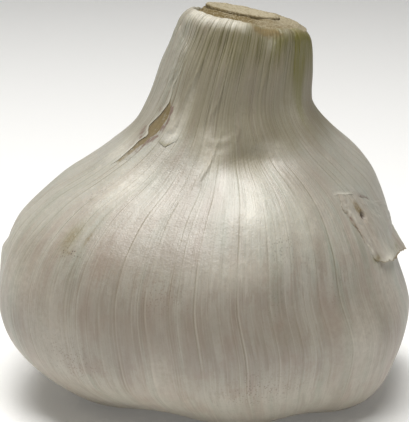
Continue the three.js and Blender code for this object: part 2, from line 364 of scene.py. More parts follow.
FOLDS = (
    Fold(((-5, 10.6), (-8, 10.1), (-9, 9.6), (-12, 9.1), (-13, 8.6)), 0.9, 0.35),
    Fold(((4, 10.9), (6, 10.6), (4, 10.3)), 1.0, 0.3),
    Fold(((-16, 10.35), (-9, 10.2), (-3, 10.25), (2, 10.4)), 0.8, 0.25),
    Fold(((-30, 12.6), (-33, 11.9), (-37, 11.3)), 1.2, 0.3),
    Fold(((-36, 10.9), (-38, 10.6), (-44, 10.35)), 1.3, 0.3),
    Fold(((-9, 11.9), (-11, 11.3), (-15, 10.9)), 1.1, 0.25),
    Fold(((22, 12.2), (19, 11.7), (20, 11.3)), 1.1, 0.25),
)


class SkinRelief:
    """Everything that stands out from the smooth bulb: grooves along the veins, folds, dents and a ledge.

    Its depths and heights are in millimetres, and its pairs of levels say where something starts and
    where it is full.
    """

    VEINS = 72
    SWAY, DRIFT = 0.28, 0.08
    FAN = 22.0
    FAN_MIDDLE = -15.0
    FAN_LEVELS = (7.6, 11.6)
    INVERTING_ROUNDS = 30
    INVERTING_SHARE = 0.6
    FOOT_LEVELS = (2.6, 4.2)
    NECK_LEVELS = (8.4, 11.6)
    GROOVE_LEVELS = (9.6, 11.2)
    TOP_LEVELS = (11.8, 13.4)
    GROOVE, TOP_GROOVE = 0.13, 0.26
    HALF_GROOVE, TOP_HALF_GROOVE = 0.02, 0.03
    GROOVE_SHARPNESS, HALF_GROOVE_SHARPNESS = 0.6, 0.5
    FOLD, SMALL_FOLD = 0.45, 0.22
    DENT, PUCKER, PANEL = 0.5, 0.10, 0.09

    def __init__(self, form: BulbForm) -> None:
        """Draws the random waves.

        Args:
            form: The smooth bulb.
        """
        self.form = form
        self._spacing = Waves(11, self.VEINS)
        self._wander = Waves(12, self.VEINS // 3)
        self._strength = Waves(13, self.VEINS)
        self._folds = Waves(14, 18)
        self._small_folds = Waves(15, 36)
        self._dents = Waves(16, 12)
        self._puckers = Waves(17, 30)
        self._panels = Waves(18, self.VEINS)

    def azimuth_of(self, vein: Array, level: Array) -> Array:
        """Where a vein runs at a level.

        Veins are evenly spaced but for small random waves, and crowd together towards the neck's front.

        Args:
            vein: Vein count, which need not be whole.
            level: Up the bulb.

        Returns:
            Azimuths in degrees, which count on past 360.
        """
        sway = self.SWAY * self._spacing(vein) + self.DRIFT * self._wander(vein / 3, level * 0.3)
        even = (vein + sway) * 360.0 / self.VEINS
        crowding = self.FAN * rise(level, *self.FAN_LEVELS)
        return even - crowding * np.sin(np.radians(even - self.FAN_MIDDLE))

    def vein_at(self, azimuth: Array, level: Array) -> Array:
        """The vein count at an azimuth: azimuth_of turned round by repeated correction.

        Args:
            azimuth: Round the bulb, in degrees.
            level: Up the bulb.

        Returns:
            The vein count, which need not be whole.
        """
        vein = np.asarray(azimuth, float) * self.VEINS / 360.0
        for _ in range(self.INVERTING_ROUNDS):
            miss = (self.azimuth_of(vein, level) - azimuth) * self.VEINS / 360.0
            vein = vein - self.INVERTING_SHARE * miss
        return vein

    def _grooves(self, vein: Array, level: Array, neck: Array) -> Array:
        """The depth of the grooves along the veins and of the fainter ones half way between them.

        Args:
            vein: Vein count.
            level: Up the bulb.
            neck: How far up the neck, from 0 to 1.

        Returns:
            Millimetres inwards.
        """
        top = rise(level, *self.TOP_LEVELS)
        furrow = 1 - np.abs(np.sin(math.pi * vein)) ** self.GROOVE_SHARPNESS
        strength = (0.5 + 0.5 * self._strength(np.round(vein), level * 0.5)) ** 2
        depth = self.GROOVE * rise(level, *self.GROOVE_LEVELS) + self.TOP_GROOVE * top
        half_furrow = 1 - np.abs(np.sin(2 * math.pi * vein)) ** self.HALF_GROOVE_SHARPNESS
        half_strength = 0.5 + 0.5 * self._strength(vein + 31, level)
        half_depth = self.HALF_GROOVE * neck + self.TOP_HALF_GROOVE * top
        return depth * furrow * strength + half_depth * half_furrow * half_strength

    def _left_clove(self, azimuth: Array, level: Array) -> Array:
        """The far left clove's bulge, and the ledge under it, which climbs to the right.

        Args:
            azimuth: Round the bulb, in degrees.
            level: Up the bulb.

        Returns:
            Millimetres outwards.
        """
        bulge = 0.8 * facing(azimuth, -92.0, 15.0) * hump(level - 6.95, 0.55)
        from_ledge = turn_between(azimuth, -88.0)
        ledge = plateau(level - 0.012 * from_ledge, 5.6, 6.32, 6.32, 6.64)
        return bulge + 0.9 * ledge * hump(from_ledge, 9.0)

    def height(self, azimuth: Array, level: Array) -> Array:
        """How far the skin stands out from the smooth bulb, in millimetres.

        Args:
            azimuth: Round the bulb, in degrees.
            level: Up the bulb.

        Returns:
            The heights.
        """
        vein = self.vein_at(azimuth, level)
        neck = rise(level, *self.NECK_LEVELS)
        folds = self.FOLD * neck * self._folds(vein / 4, level * 0.5)
        folds += self.SMALL_FOLD * neck * self._small_folds(vein / 2, level * 1.1)
        folds += sum(fold.height(azimuth, level) for fold in FOLDS)
        dents = self.DENT * (1 - neck) * self._dents(azimuth / 30, level * 0.5)
        dents += self.PUCKER * self._puckers(azimuth / 12, level * 1.3)
        dents += self.PANEL * (1 - neck) * self._panels(vein, level * 0.8)
        raised = folds + dents + self._left_clove(azimuth, level) - self._grooves(vein, level, neck)
        return rise(level, *self.FOOT_LEVELS) * raised

    def point(self, azimuth: Array, level: Array, lift: Array | float = 0.0) -> Array:
        """Points on the finished skin, or `lift` millimetres above it, never below the floor.

        Args:
            azimuth: Round the bulb, in degrees.
            level: Up the bulb.
            lift: How far off the skin.

        Returns:
            x, y and z as the last axis.
        """
        out = self.height(azimuth, level) + lift
        points = self.form.point(azimuth, level) + self.form.normal(azimuth, level) * out[..., None]
        points[..., 2] = np.maximum(points[..., 2], 0)
        return points


# --------------------------------------------------------------------------------- Making of meshes


@dataclass
class Surface:
    """A mesh in the making: points in millimetres, and faces of four corners, or three and a -1.

    Its maps have a (u, v) for every face corner, and its marks a number for every point.
    """

    points: Array
    faces: Array
    maps: dict[str, Array] = field(default_factory=dict)
    marks: dict[str, Array] = field(default_factory=dict)

    def make(self, name: str) -> bpy.types.Object:
        """Puts the surface into the scene.

        Args:
            name: The new object's name.

        Returns:
            The object, at the origin, smooth-shaded.
        """
        mesh = bpy.data.meshes.new(name)
        mesh.from_pydata((self.points * MM).tolist(), [], face_lists(self.faces))
        for title, corners in self.maps.items():
            layer = mesh.uv_layers.new(name=title)
            layer.data.foreach_set("uv", corners.astype(np.float32).ravel())
        for title, values in self.marks.items():
            mark = mesh.attributes.new(title, "FLOAT", "POINT")
            mark.data.foreach_set("value", values.astype(np.float32).ravel())
        mesh.polygons.foreach_set("use_smooth", np.ones(len(mesh.polygons), bool))
        mesh.update()
        thing = bpy.data.objects.new(name, mesh)
        bpy.context.scene.collection.objects.link(thing)
        return thing


def face_lists(faces: Array) -> list[list[int]]:
    """Faces as lists, where a fourth corner of -1 marks a triangle.

    Args:
        faces: Four corners a row.

    Returns:
        The faces, ready for from_pydata.
    """
    triangles = faces[:, 3] < 0
    listed = faces.tolist()
    for i in np.flatnonzero(triangles):
        listed[i] = listed[i][:3]
    return listed


def grid_corners(rows: int, columns: int, wraps: bool) -> Array:
    """(row, column) of the corners of a grid's faces, anticlockwise seen from outside.

    Where the grid wraps round, the last faces' right column counts on past the end.

    Args:
        rows: The grid's rows.
        columns: Its columns.
        wraps: Whether the last column meets the first.

    Returns:
        Places (face, corner, 2).
    """
    last = columns if wraps else columns - 1
    row, column = np.meshgrid(np.arange(rows - 1), np.arange(last), indexing="ij")
    steps = ((0, 0), (0, 1), (1, 1), (1, 0))
    corners = [np.stack([row + up, column + right], -1) for up, right in steps]
    return np.stack(corners, -2).reshape(-1, 4, 2).astype(float)


def grid_faces(rows: int, columns: int, wraps: bool) -> Array:
    """The same corners as places in a list of the grid's points, row by row."""
    corners = grid_corners(rows, columns, wraps).astype(int)
    return corners[..., 0] * columns + corners[..., 1] % columns


def stacked_surface(rings: Array, wrapped_map: Callable[[Array, Array], Array] | None = None) -> Surface:
    """A solid of stacked rings, with a fan to a middle point at each end.

    Args:
        rings: Points (ring, column, 3), columns anticlockwise seen from the last ring's side.
        wrapped_map: Gives the pattern map (u, v) from arrays of row and column.

    Returns:
        The closed surface with its bake map, and its pattern map if asked for.
    """
    rows, columns = rings.shape[:2]
    points = np.vstack([rings.reshape(-1, 3), rings[0].mean(0), rings[-1].mean(0)])
    column = np.arange(columns)
    right = (column + 1) % columns
    low, high, blank = rows * columns, rows * columns + 1, np.full(columns, -1)
    start = (rows - 1) * columns
    low_fan = np.stack([np.full(columns, low), right, column, blank], -1)
    high_fan = np.stack([start + column, start + right, np.full(columns, high), blank], -1)
    faces = np.vstack([grid_faces(rows, columns, True), low_fan, high_fan])

    def fan_corners(*corners: tuple[float, float]) -> Array:
        """(row, column) of a fan's corners, each given for its first triangle."""
        sides = [np.stack([np.full(columns, float(row)), column + shift], -1) for row, shift in corners]
        return np.stack(sides, 1)

    low_corners = fan_corners((-1, 0.5), (0, 1), (0, 0), (0, 0))
    high_corners = fan_corners((rows - 1, 0), (rows - 1, 1), (rows, 0.5), (0, 0))
    body = grid_corners(rows, columns, True)
    places = np.vstack([body, low_corners, high_corners])[faces >= 0]
    maps = {BAKE_MAP: np.stack([places[:, 1] / columns, (places[:, 0] + 1) / (rows + 1)], -1)}
    if wrapped_map:
        maps[PATTERN_MAP] = wrapped_map(places[:, 0], places[:, 1])
    return Surface(points, faces, maps)


def hoop_surface(rings: Array) -> Surface:
    """A ring-shaped solid whose rings go round its wall and end where they began.

    Args:
        rings: Points (ring, column, 3), columns anticlockwise seen from the last ring's side.

    Returns:
        The closed surface with its bake map.
    """
    rows, columns = rings.shape[:2]
    faces = grid_faces(rows + 1, columns, True) % (rows * columns)
    places = grid_corners(rows + 1, columns, True).reshape(-1, 2)
    bake = np.stack([places[:, 1] / columns, places[:, 0] / rows], -1)
    return Surface(rings.reshape(-1, 3), faces, {BAKE_MAP: bake})


def crisp_shares(count: int, closeness: float = 0.08) -> Array:
    """Even shares from 0 to 1, with one more close to each end, which keeps smooth-shaded edges crisp."""
    even, close = np.linspace(0, 1, count), closeness / count
    return np.concatenate([[0.0, close], even[1:-1], [1 - close, 1.0]])


def sheet_surface(upper: Array, under: Array, pattern: Array) -> Surface:
    """A thin closed sheet between two grids.

    Args:
        upper: The outer side's points (row, column, 3), columns anticlockwise seen from outside.
        under: The inner side's points, on the same grid.
        pattern: The pattern map's (u, v) at each grid point.

    Returns:
        The closed surface, with its two sides side by side in the bake map.
    """
    rows, columns = upper.shape[:2]
    count = rows * columns
    top = grid_faces(rows, columns, False)
    rim = np.concatenate([
        np.arange(columns - 1), np.arange(rows - 1) * columns + columns - 1,
        count - 1 - np.arange(columns - 1), (rows - 1 - np.arange(rows - 1)) * columns,
    ])
    following = np.roll(rim, -1)
    wall = np.stack([rim + count, following + count, following, rim], -1)
    faces = np.vstack([top, top[:, ::-1] + count, wall])
    row, column = np.divmod(np.arange(count), columns)
    side_width, under_start, wall_start, wall_end = 0.47, 0.49, 0.97, 0.995
    place = np.stack([side_width * column / (columns - 1), row / (rows - 1)], -1)
    bake = np.vstack([place, place + (under_start, 0)])[faces]
    step = 1 / len(rim)
    run = np.arange(len(rim)) * step
    wall_corners = ((wall_start, 0), (wall_start, step), (wall_end, step), (wall_end, 0))
    bake[-len(rim):] = np.stack([
        np.stack([np.full(len(rim), side), run + onward], -1) for side, onward in wall_corners
    ], 1)
    patterns = np.vstack([pattern.reshape(-1, 2)] * 2)
    maps = {BAKE_MAP: bake.reshape(-1, 2), PATTERN_MAP: patterns[faces].reshape(-1, 2)}
    return Surface(np.vstack([upper.reshape(-1, 3), under.reshape(-1, 3)]), faces, maps)


def joined(surfaces: list[Surface], filling: float = 0.96) -> Surface:
    """Several closed surfaces as one, side by side in the bake map, where each fills most of its strip.

    Args:
        surfaces: What to join, all with the same maps and marks.
        filling: The share of its strip that each fills.

    Returns:
        The joined surface.
    """
    strip = 1 / len(surfaces)
    firsts = np.cumsum([0] + [len(surface.points) for surface in surfaces])
    faces = [np.where(s.faces < 0, -1, s.faces + first) for s, first in zip(surfaces, firsts)]
    maps = {name: np.vstack([s.maps[name] for s in surfaces]) for name in surfaces[0].maps}
    maps[BAKE_MAP] = np.vstack([
        s.maps[BAKE_MAP] * (strip * filling, 1.0) + (i * strip, 0.0) for i, s in enumerate(surfaces)
    ])
    marks = {name: np.concatenate([s.marks[name] for s in surfaces]) for name in surfaces[0].marks}
    return Surface(np.vstack([s.points for s in surfaces]), np.vstack(faces), maps, marks)


# ------------------------------------------------------------------------------- Shader expressions


Operand = Union["Number", float]
Colour = tuple[float, float, float]
Coats = tuple[tuple[Operand, object], ...]


def from_screen(red: int, green: int, blue: int) -> Colour:
    """A colour as a screen shows it, 0 to 255, turned into the light that a shader works in.

    Args:
        red: How much red, up to 255.
        green: How much green.
        blue: How much blue.

    Returns:
        The colour in linear light.
    """
    share = np.array([red, green, blue]) / 255
    light = np.where(share <= 0.04045, share / 12.92, ((share + 0.055) / 1.055) ** 2.4)
    return tuple(float(x) for x in light)


class Number:
    """A socket that carries a number, with the arithmetic that shader expressions use."""

    def __init__(self, kit: ShaderKit, socket: bpy.types.NodeSocket) -> None:
        self.kit = kit
        self.socket = socket

    def _math(self, operation: str, first: Operand, second: Operand = 0.0) -> Number:
        """A Math node's result."""
        return self.kit.number("ShaderNodeMath", {"operation": operation}, {0: first, 1: second})

    def __add__(self, other: Operand) -> Number:
        """self + other, and the same the other way round."""
        return self._math("ADD", self, other)

    __radd__ = __add__

    def __mul__(self, other: Operand) -> Number:
        """self * other, and the same the other way round."""
        return self._math("MULTIPLY", self, other)

    __rmul__ = __mul__

    def __sub__(self, other: Operand) -> Number:
        """self - other."""
        return self._math("SUBTRACT", self, other)

    def __rsub__(self, other: Operand) -> Number:
        """other - self."""
        return self._math("SUBTRACT", other, self)

    def __mod__(self, other: Operand) -> Number:
        """What is left of self after whole multiples of other, never negative."""
        return self._math("FLOORED_MODULO", self, other)

    def __abs__(self) -> Number:
        """The size of self."""
        return self._math("ABSOLUTE", self)

    def rounded(self) -> Number:
        """The nearest whole number."""
        return self._math("ROUND", self)

    def sine(self) -> Number:
        """The sine of self, in radians."""
        return self._math("SINE", self)

    def cosine(self) -> Number:
        """The cosine of self, in radians."""
        return self._math("COSINE", self)

    def step(self, low: Operand, high: Operand) -> Number:
        """A soft step from 0 at low to 1 at high.

        Args:
            low: Where it starts.
            high: Where it is full.

        Returns:
            The share, from 0 to 1.
        """
        settings = {"interpolation_type": "SMOOTHSTEP"}
        sockets = {"Value": self, "From Min": low, "From Max": high}
        return self.kit.number("ShaderNodeMapRange", settings, sockets)

    def spread(self, low: Operand, high: Operand, start: float, end: float) -> Number:
        """A straight change from start at low to end at high, held beyond both."""
        sockets = {"Value": self, "From Min": low, "From Max": high, "To Min": start, "To Max": end}
        return self.kit.number("ShaderNodeMapRange", {}, sockets)


class ShaderKit:
    """A material's node tree, and the calls that fill it."""

    def __init__(self, name: str) -> None:
        """Starts a material with one Principled shader.

        Args:
            name: The material's name.
        """
        self.material = bpy.data.materials.new(name)
        self.material.use_nodes = True
        self.tree = self.material.node_tree
        self.shader = next(n for n in self.tree.nodes if n.type == "BSDF_PRINCIPLED")

    def node(self, kind: str, settings: dict[str, object], sockets: dict) -> bpy.types.Node:
        """Adds a node.

        Args:
            kind: The node's type.
            settings: Its properties, which are set first.
            sockets: Values, numbers or sockets for its inputs, by name or place.

        Returns:
            The node.
        """
        node = self.tree.nodes.new(kind)
        for name, value in settings.items():
            setattr(node, name, value)
        for key, value in sockets.items():
            self.feed(node.inputs[key], value)
        return node

    def feed(self, socket: bpy.types.NodeSocket, value: object) -> None:
        """Gives a socket a number or socket to read, or a value of its own.

        Args:
            socket: What to set.
            value: A number, a socket, a colour or a plain value.
        """
        if isinstance(value, Number):
            self.tree.links.new(value.socket, socket)
        elif isinstance(value, bpy.types.NodeSocket):
            self.tree.links.new(value, socket)
        elif socket.type == "RGBA":
            socket.default_value = (*value, 1.0)
        else:
            socket.default_value = value

    def number(self, kind: str, settings: dict[str, object], sockets: dict, output: int = 0) -> Number:
        """Adds a node and gives its output as a number."""
        return Number(self, self.node(kind, settings, sockets).outputs[output])

    def mix(self, share: Operand, first: object, second: object) -> bpy.types.NodeSocket:
        """Two colours mixed by the second one's share, as a colour socket.

        Args:
            share: The second colour's share.
            first: A colour or colour socket.
            second: Another one.

        Returns:
            The colour socket.
        """
        node = self.node("ShaderNodeMix", {"data_type": "RGBA"}, {"Factor": share})
        first_socket, second_socket = (s for s in node.inputs if s.type == "RGBA")
        self.feed(first_socket, first)
        self.feed(second_socket, second)
        return next(s for s in node.outputs if s.type == "RGBA")

    def coated(self, colour: object, coats: Coats) -> object:
        """A colour with coats laid over it in turn, each a (share, tone).

        Args:
            colour: The ground colour.
            coats: What is laid on, first to last.

        Returns:
            The colour socket.
        """
        for share, tone in coats:
            colour = self.mix(share, colour, tone)
        return colour

    def mark(self, name: str) -> Number:
        """A number stored at the mesh's points."""
        return self.number("ShaderNodeAttribute", {"attribute_name": name}, {}, 2)

    def place(self) -> bpy.types.NodeSocket:
        """The piece's own coordinates, in metres."""
        return self.node("ShaderNodeTexCoord", {}, {}).outputs["Object"]

    def pattern(self) -> tuple[Number, Number]:
        """The pattern map's two numbers.

        Returns:
            The vein count and the level.
        """
        source = self.node("ShaderNodeUVMap", {"uv_map": PATTERN_MAP}, {}).outputs[0]
        parts = self.node("ShaderNodeSeparateXYZ", {}, {0: source}).outputs
        return Number(self, parts[0]), Number(self, parts[1])

    def joined(self, x: Operand, y: Operand, z: Operand) -> bpy.types.NodeSocket:
        """Three numbers as a vector."""
        return self.node("ShaderNodeCombineXYZ", {}, {0: x, 1: y, 2: z}).outputs[0]

    def noise(self, where: object, scale: float, detail: float = 2.0, roughness: float = 0.5) -> Number:
        """Noise from 0 to 1."""
        sockets = {"Vector": where, "Scale": scale, "Detail": detail, "Roughness": roughness}
        return self.number("ShaderNodeTexNoise", {}, sockets)

    def grain(self, scale: float, detail: float = 2.0, roughness: float = 0.5) -> Number:
        """Noise from 0 to 1 in the piece's own space, of `scale` cells to a metre."""
        return self.noise(self.place(), scale, detail, roughness)

    def dots(self, scale: float) -> Number:
        """Distance from the nearest of many scattered points, in cells, of which a metre holds `scale`."""
        return self.number("ShaderNodeTexVoronoi", {}, {"Vector": self.place(), "Scale": scale})

    def dice(self, count: Number) -> Number:
        """A number from 0 to 1 that is random for each whole count."""
        return self.number("ShaderNodeTexWhiteNoise", {"noise_dimensions": "1D"}, {"W": count})

    def bump(self, height: Number, distance: float) -> None:
        """Roughens the surface by a height that counts `distance` metres.

        Args:
            height: The height, in units of distance.
            distance: How many metres 1 counts.
        """
        sockets = {"Height": height, "Distance": distance, "Strength": 1.0}
        node = self.node("ShaderNodeBump", {}, sockets)
        self.feed(self.shader.inputs["Normal"], node.outputs[0])

    def finish(self, **sockets: object) -> bpy.types.Material:
        """Sets the shader's sockets, by name with _ for a space, and gives the material.

        Args:
            sockets: Values, numbers or sockets by name.

        Returns:
            The material.
        """
        for name, value in sockets.items():
            self.feed(self.shader.inputs[name.replace("_", " ")], value)
        return self.material


# -------------------------------------------------------------------------------------- Finishes


class Layer(Enum):
    """Which papery layer a finish is for."""

    BULB = "bulb_skin"
    LOOSE = "loose_skin"


@dataclass(frozen=True)
class Streaks:
    """Noise on a cylinder round the bulb, so that it meets itself behind, drawn out along the veins.

    The cylinder's radius and the height of a level are counted in cells of the noise.
    """

    radius: float
    per_level: float
    start: float = 0.0
    detail: float = 2.0
    roughness: float = 0.6

    def over(self, kit: ShaderKit, vein: Number, along: Number) -> Number:
        """The noise from 0 to 1 at a vein count and a level.

        Args:
            kit: The material's kit.
            vein: Vein count.
            along: Level.

        Returns:
            The noise.
        """
        angle = vein * (2 * math.pi / SkinRelief.VEINS)
        height = along * self.per_level + self.start
        place = kit.joined(angle.sine() * self.radius, angle.cosine() * self.radius, height)
        return kit.noise(place, 1.0, self.detail, self.roughness)


class SkinPattern:
    """What varies over papery skin: numbers from 0 to 1, which the finish lays its colours on by.

    They come from the pattern map, from noise in the piece's own space, and from every mark in MARKS. The
    pairs of levels say where lines grow wider and stop straying, and what is the top, what low, what foot.
    """

    FIBRES = Streaks(60.0, 0.5)
    RIPPLES = Streaks(44.0, 1.1, detail=3.0)
    BROAD = Streaks(8.0, 0.3, detail=3.0)
    MIDDLE = Streaks(15.0, 0.25, start=40.0, roughness=0.5)
    NARROW = Streaks(34.0, 0.7, start=20.0, roughness=0.5)
    FURROWS = Streaks(26.0, 0.6, start=60.0)
    PATCHES = Streaks(30.0, 1.5, start=80.0, detail=3.0)
    RAGGEDNESS = 0.8
    LINE_LEVELS, STRAY_LEVELS = (7.0, 13.5), (9.5, 11.5)
    TOP_LEVELS, LOW_LEVELS, FOOT_LEVELS = (11.4, 13.2), (5.4, 8.4), (2.4, 5.0)

    def __init__(self, kit: ShaderKit) -> None:
        """Adds the nodes: lines, then streaks along the veins, then mottling, grain and flecks.

        Args:
            kit: The material's kit.
        """
        self.kit = kit
        self.vein, self.along = vein, along = kit.pattern()
        self.marks = {name: kit.mark(name) for name in MARKS}
        self.top, self.low = along.step(*self.TOP_LEVELS), 1 - along.step(*self.LOW_LEVELS)
        self.foot = 1 - along.step(*self.FOOT_LEVELS)

        self.stray = 1 - along.step(*self.STRAY_LEVELS)
        # The main lines' edges and the hair lines' gleam become painted highlights in the finish.
        self.main, self.edge = self._lines(1.0, along.spread(*self.LINE_LEVELS, 0.05, 0.17))
        self.fine, _ = self._lines(2.0, along.spread(*self.LINE_LEVELS, 0.05, 0.22))
        self.hair, self.gleam = self._lines(5.0, 0.16)

        self.fibre = self.FIBRES.over(kit, vein, along)
        self.ripple = self.RIPPLES.over(kit, vein, along)
        ragged = along + self.fibre * self.RAGGEDNESS
        self.broad, self.middle, self.narrow, self.furrow, self.patch = (
            streaks.over(kit, vein, ragged)
            for streaks in (self.BROAD, self.MIDDLE, self.NARROW, self.FURROWS, self.PATCHES)
        )
        strip = (vein - 0.5).rounded() % float(SkinRelief.VEINS)
        self.panel = kit.noise(kit.joined(strip * 2.3, ragged * 0.55, 5.0), 1.0, 1.0)

        self.blotch, self.mottle = kit.grain(38.0, 4.0, 0.55), kit.grain(170.0, 4.0, 0.62)
        self.crumple, self.grain = kit.grain(330.0, 3.0, 0.55), kit.grain(620.0, 3.0)
        self.tooth = kit.grain(2400.0)
        self.tear = 1 + (self.grain - 0.5) * 2.0 + (kit.grain(1300.0, 3.0, 0.7) - 0.5) * 3.0
        self.brown = (self.marks["brown"] * (0.35 + self.tear * 0.65)).step(0.0, 0.9)
        rare, pepper = kit.grain(60.0).step(0.6, 0.72) * 0.25, self.marks["pepper"]
        self.specks = (1 - kit.dots(1500.0).step(0.2, 0.3 + pepper * 0.12)) * (rare + pepper)

    def _lines(self, per_vein: float, width: Operand) -> tuple[Number, Number]:
        """Lines along the veins, each with its own strength, which fade in and out along them.

        Args:
            per_vein: Lines to each vein.
            width: Their half width, as a share of the space between them.

        Returns:
            The lines, and the edges beside them, which the finish paints as highlights.
        """
        kit, scaled = self.kit, self.vein * per_vein
        cell = scaled.rounded()
        seed = cell % (SkinRelief.VEINS * per_vein) + 17 * per_vein
        shift = (kit.dice(seed + 400.0) - 0.5) * 0.5
        shift = shift + (kit.noise(kit.joined(seed * 5.3, self.along * 0.7, 9.0), 1.0, 1.0) - 0.5) * 0.18
        fade = kit.noise(kit.joined(seed * 3.7, self.along * 0.8, 0.0), 1.0, 1.0).step(0.3, 0.62)
        strength = kit.dice(seed).spread(0.1, 0.8, 0.15, 1.0) * (0.25 + fade * 0.75)
        away = scaled - cell - shift * self.stray
        line = (1 - abs(away).step(width * 0.25, width)) * strength
        edge = (1 - abs(away - width * 1.9).step(width * 0.4, width * 1.3)) * strength
        return line, edge


@dataclass(frozen=True)
class PaperySkin:
    """Dried garlic skin: pale, satin and faintly translucent, with fine darker veins along it."""

    layer: Layer
    pale: Colour = from_screen(183, 179, 167)
    warm: Colour = from_screen(161, 140, 126)
    cool: Colour = from_screen(149, 155, 139)
    thin: Colour = from_screen(140, 128, 114)
    # thin: translucent streaks, and painted shade on the belly and in the thin places
    vein: Colour = from_screen(122, 114, 88)
    neck: Colour = from_screen(127, 118, 91)
    furrow: Colour = from_screen(90, 84, 44)
    # bright: light flecks and crumbs, and painted highlights
    bright: Colour = from_screen(226, 220, 204)
    # foot: painted light from the floor, low on the bulb
    foot: Colour = from_screen(192, 184, 169)
    green: Colour = from_screen(108, 102, 10)
    pink: Colour = from_screen(184, 170, 155)
    brown: Colour = from_screen(116, 98, 56)
    plum: Colour = from_screen(122, 98, 86)
    # dark: specks, and painted shade in the slit and the holes
    dark: Colour = from_screen(74, 54, 32)
    relief: float = 0.00024

    def _ground(self, skin: SkinPattern) -> Coats:
        """Streaks and mottling, strongest low on the bulb, and the duller neck with its furrows.

        Args:
            skin: What varies over the skin.

        Returns:
            The coats.
        """
        low, neck, bare = skin.low, skin.marks["neck"], 1 - skin.marks["pale"] * 0.75
        return (
            (skin.broad.step(0.46, 0.64) * (0.25 + low * 0.6), self.warm),
            (skin.middle.step(0.5, 0.66) * (0.25 + low * 0.6), self.cool),
            (skin.narrow.step(0.52, 0.7) * (0.1 + low * 0.55), self.thin),
            (skin.panel.step(0.4, 0.64) * 0.22, self.cool),
            (skin.mottle.step(0.5, 0.68) * (0.1 + low * 0.5), self.warm),
            ((1 - skin.mottle).step(0.52, 0.72) * (0.14 + low * 0.26), self.cool),
            (skin.patch.step(0.5, 0.62) * (0.06 + low * 0.44), self.thin),
            ((1 - skin.patch).step(0.52, 0.64) * (0.08 + low * 0.4), self.pale),
            (skin.grain.step(0.5, 0.75) * 0.14, self.bright),
            # Painted shade: the belly mark and the thin places darken the skin towards the thin colour.
            (skin.marks["belly"] * (0.25 + skin.broad * 0.8), self.thin),
            (skin.marks["thin"] * (0.4 + skin.broad * 0.9), self.thin),
            # The neck mark's colour also paints the shadow under the neck over the front clove.
            (neck * bare * (0.6 + skin.fibre * 0.4), self.neck),
            (neck * skin.narrow.step(0.48, 0.66) * bare * 0.35, self.neck),
            (neck * skin.broad.step(0.48, 0.6) * bare * 0.3, self.thin),
            (skin.furrow.step(0.5, 0.64) * skin.top * bare * 0.75, self.furrow),
        )

    def _veins(self, skin: SkinPattern) -> Coats:
        """The veins with painted highlights beside them, the paler foot, which is painted light from the
        floor below, and the skin's own fibre and grain.

        Args:
            skin: What varies over the skin.

        Returns:
            The coats.
        """
        line, neck = skin.kit.mix(skin.top, self.vein, self.furrow), skin.marks["neck"]
        return (
            (skin.main * (0.66 - skin.low * 0.3 + skin.top * 0.3), line),
            (skin.fine * (0.26 + neck * 0.12 + skin.top * 0.1), line),
            (skin.hair * (0.1 + neck * 0.06), line),
            # Painted highlights: pale lines beside the main veins and beside the hair lines.
            (skin.edge * (0.06 + skin.low * 0.11), self.bright),
            (skin.gleam * 0.1 * (1 - skin.top), self.bright),
            # Painted light: the paler foot stands in for light from the floor below, weaker in the thin
            # places.
            (skin.foot * (0.8 - skin.marks["thin"] * 0.8), self.foot),
            ((skin.fibre - 0.5).step(0.0, 0.5) * 0.16, self.vein),
            (skin.blotch.step(0.54, 0.78) * 0.2, self.warm),
            (skin.tooth.step(0.5, 0.75) * 0.14, self.vein),
        )

    def _stains(self, skin: SkinPattern) -> Coats:
        """The marked stains, most of them broken up into flecks, and the scattered specks, with the bright
        mark, painted highlights and whitish crumbs, and the dark mark, painted shade in the slit and the
        holes.

        Args:
            skin: What varies over the skin.

        Returns:
            The coats.
        """
        marks, tear = skin.marks, skin.tear
        return (
            (marks["pink"] * (0.15 + skin.broad * 0.4), self.pink),
            (marks["green"] * (0.5 + skin.main * 0.5 + skin.furrow * 0.5), self.green),
            # Painted highlights, and whitish crumbs, from the bright mark.
            (marks["bright"] * (0.5 + tear * 0.5), self.bright),
            (skin.brown * 0.9, self.brown),
            ((marks["plum"] * tear).step(0.0, 1.0) * 0.9, self.plum),
            (skin.specks * 0.8, self.dark),
            # Painted shade from the dark mark, in the slit and the holes.
            ((marks["dark"] * (0.5 + tear * 0.5)).step(0.0, 0.9), self.dark),
        )

    def material(self) -> bpy.types.Material:
        """The finish as a material: its colour, then its relief, then its gloss.

        Returns:
            The material.
        """
        kit = ShaderKit(self.layer.value)
        skin = SkinPattern(kit)
        colour = kit.coated(self.pale, self._ground(skin) + self._veins(skin) + self._stains(skin))
        height = skin.fibre * 0.3 - skin.main * 0.13 - skin.fine * 0.05 + skin.edge * 0.03
        height = height + skin.ripple * 0.45 + skin.crumple * 0.5
        kit.bump(height + skin.tooth * 0.22 + skin.grain * (0.25 + skin.brown * 0.5), self.relief)
        roughness = 0.34 + skin.panel * 0.16 + skin.fibre * 0.08 + skin.marks["neck"] * 0.12
        return kit.finish(
            Base_Color=colour, Roughness=roughness + skin.brown * 0.3, Specular_IOR_Level=0.95,
            Subsurface_Weight=0.12, Subsurface_Radius=(1.0, 0.8, 0.55), Subsurface_Scale=0.0015,
        )


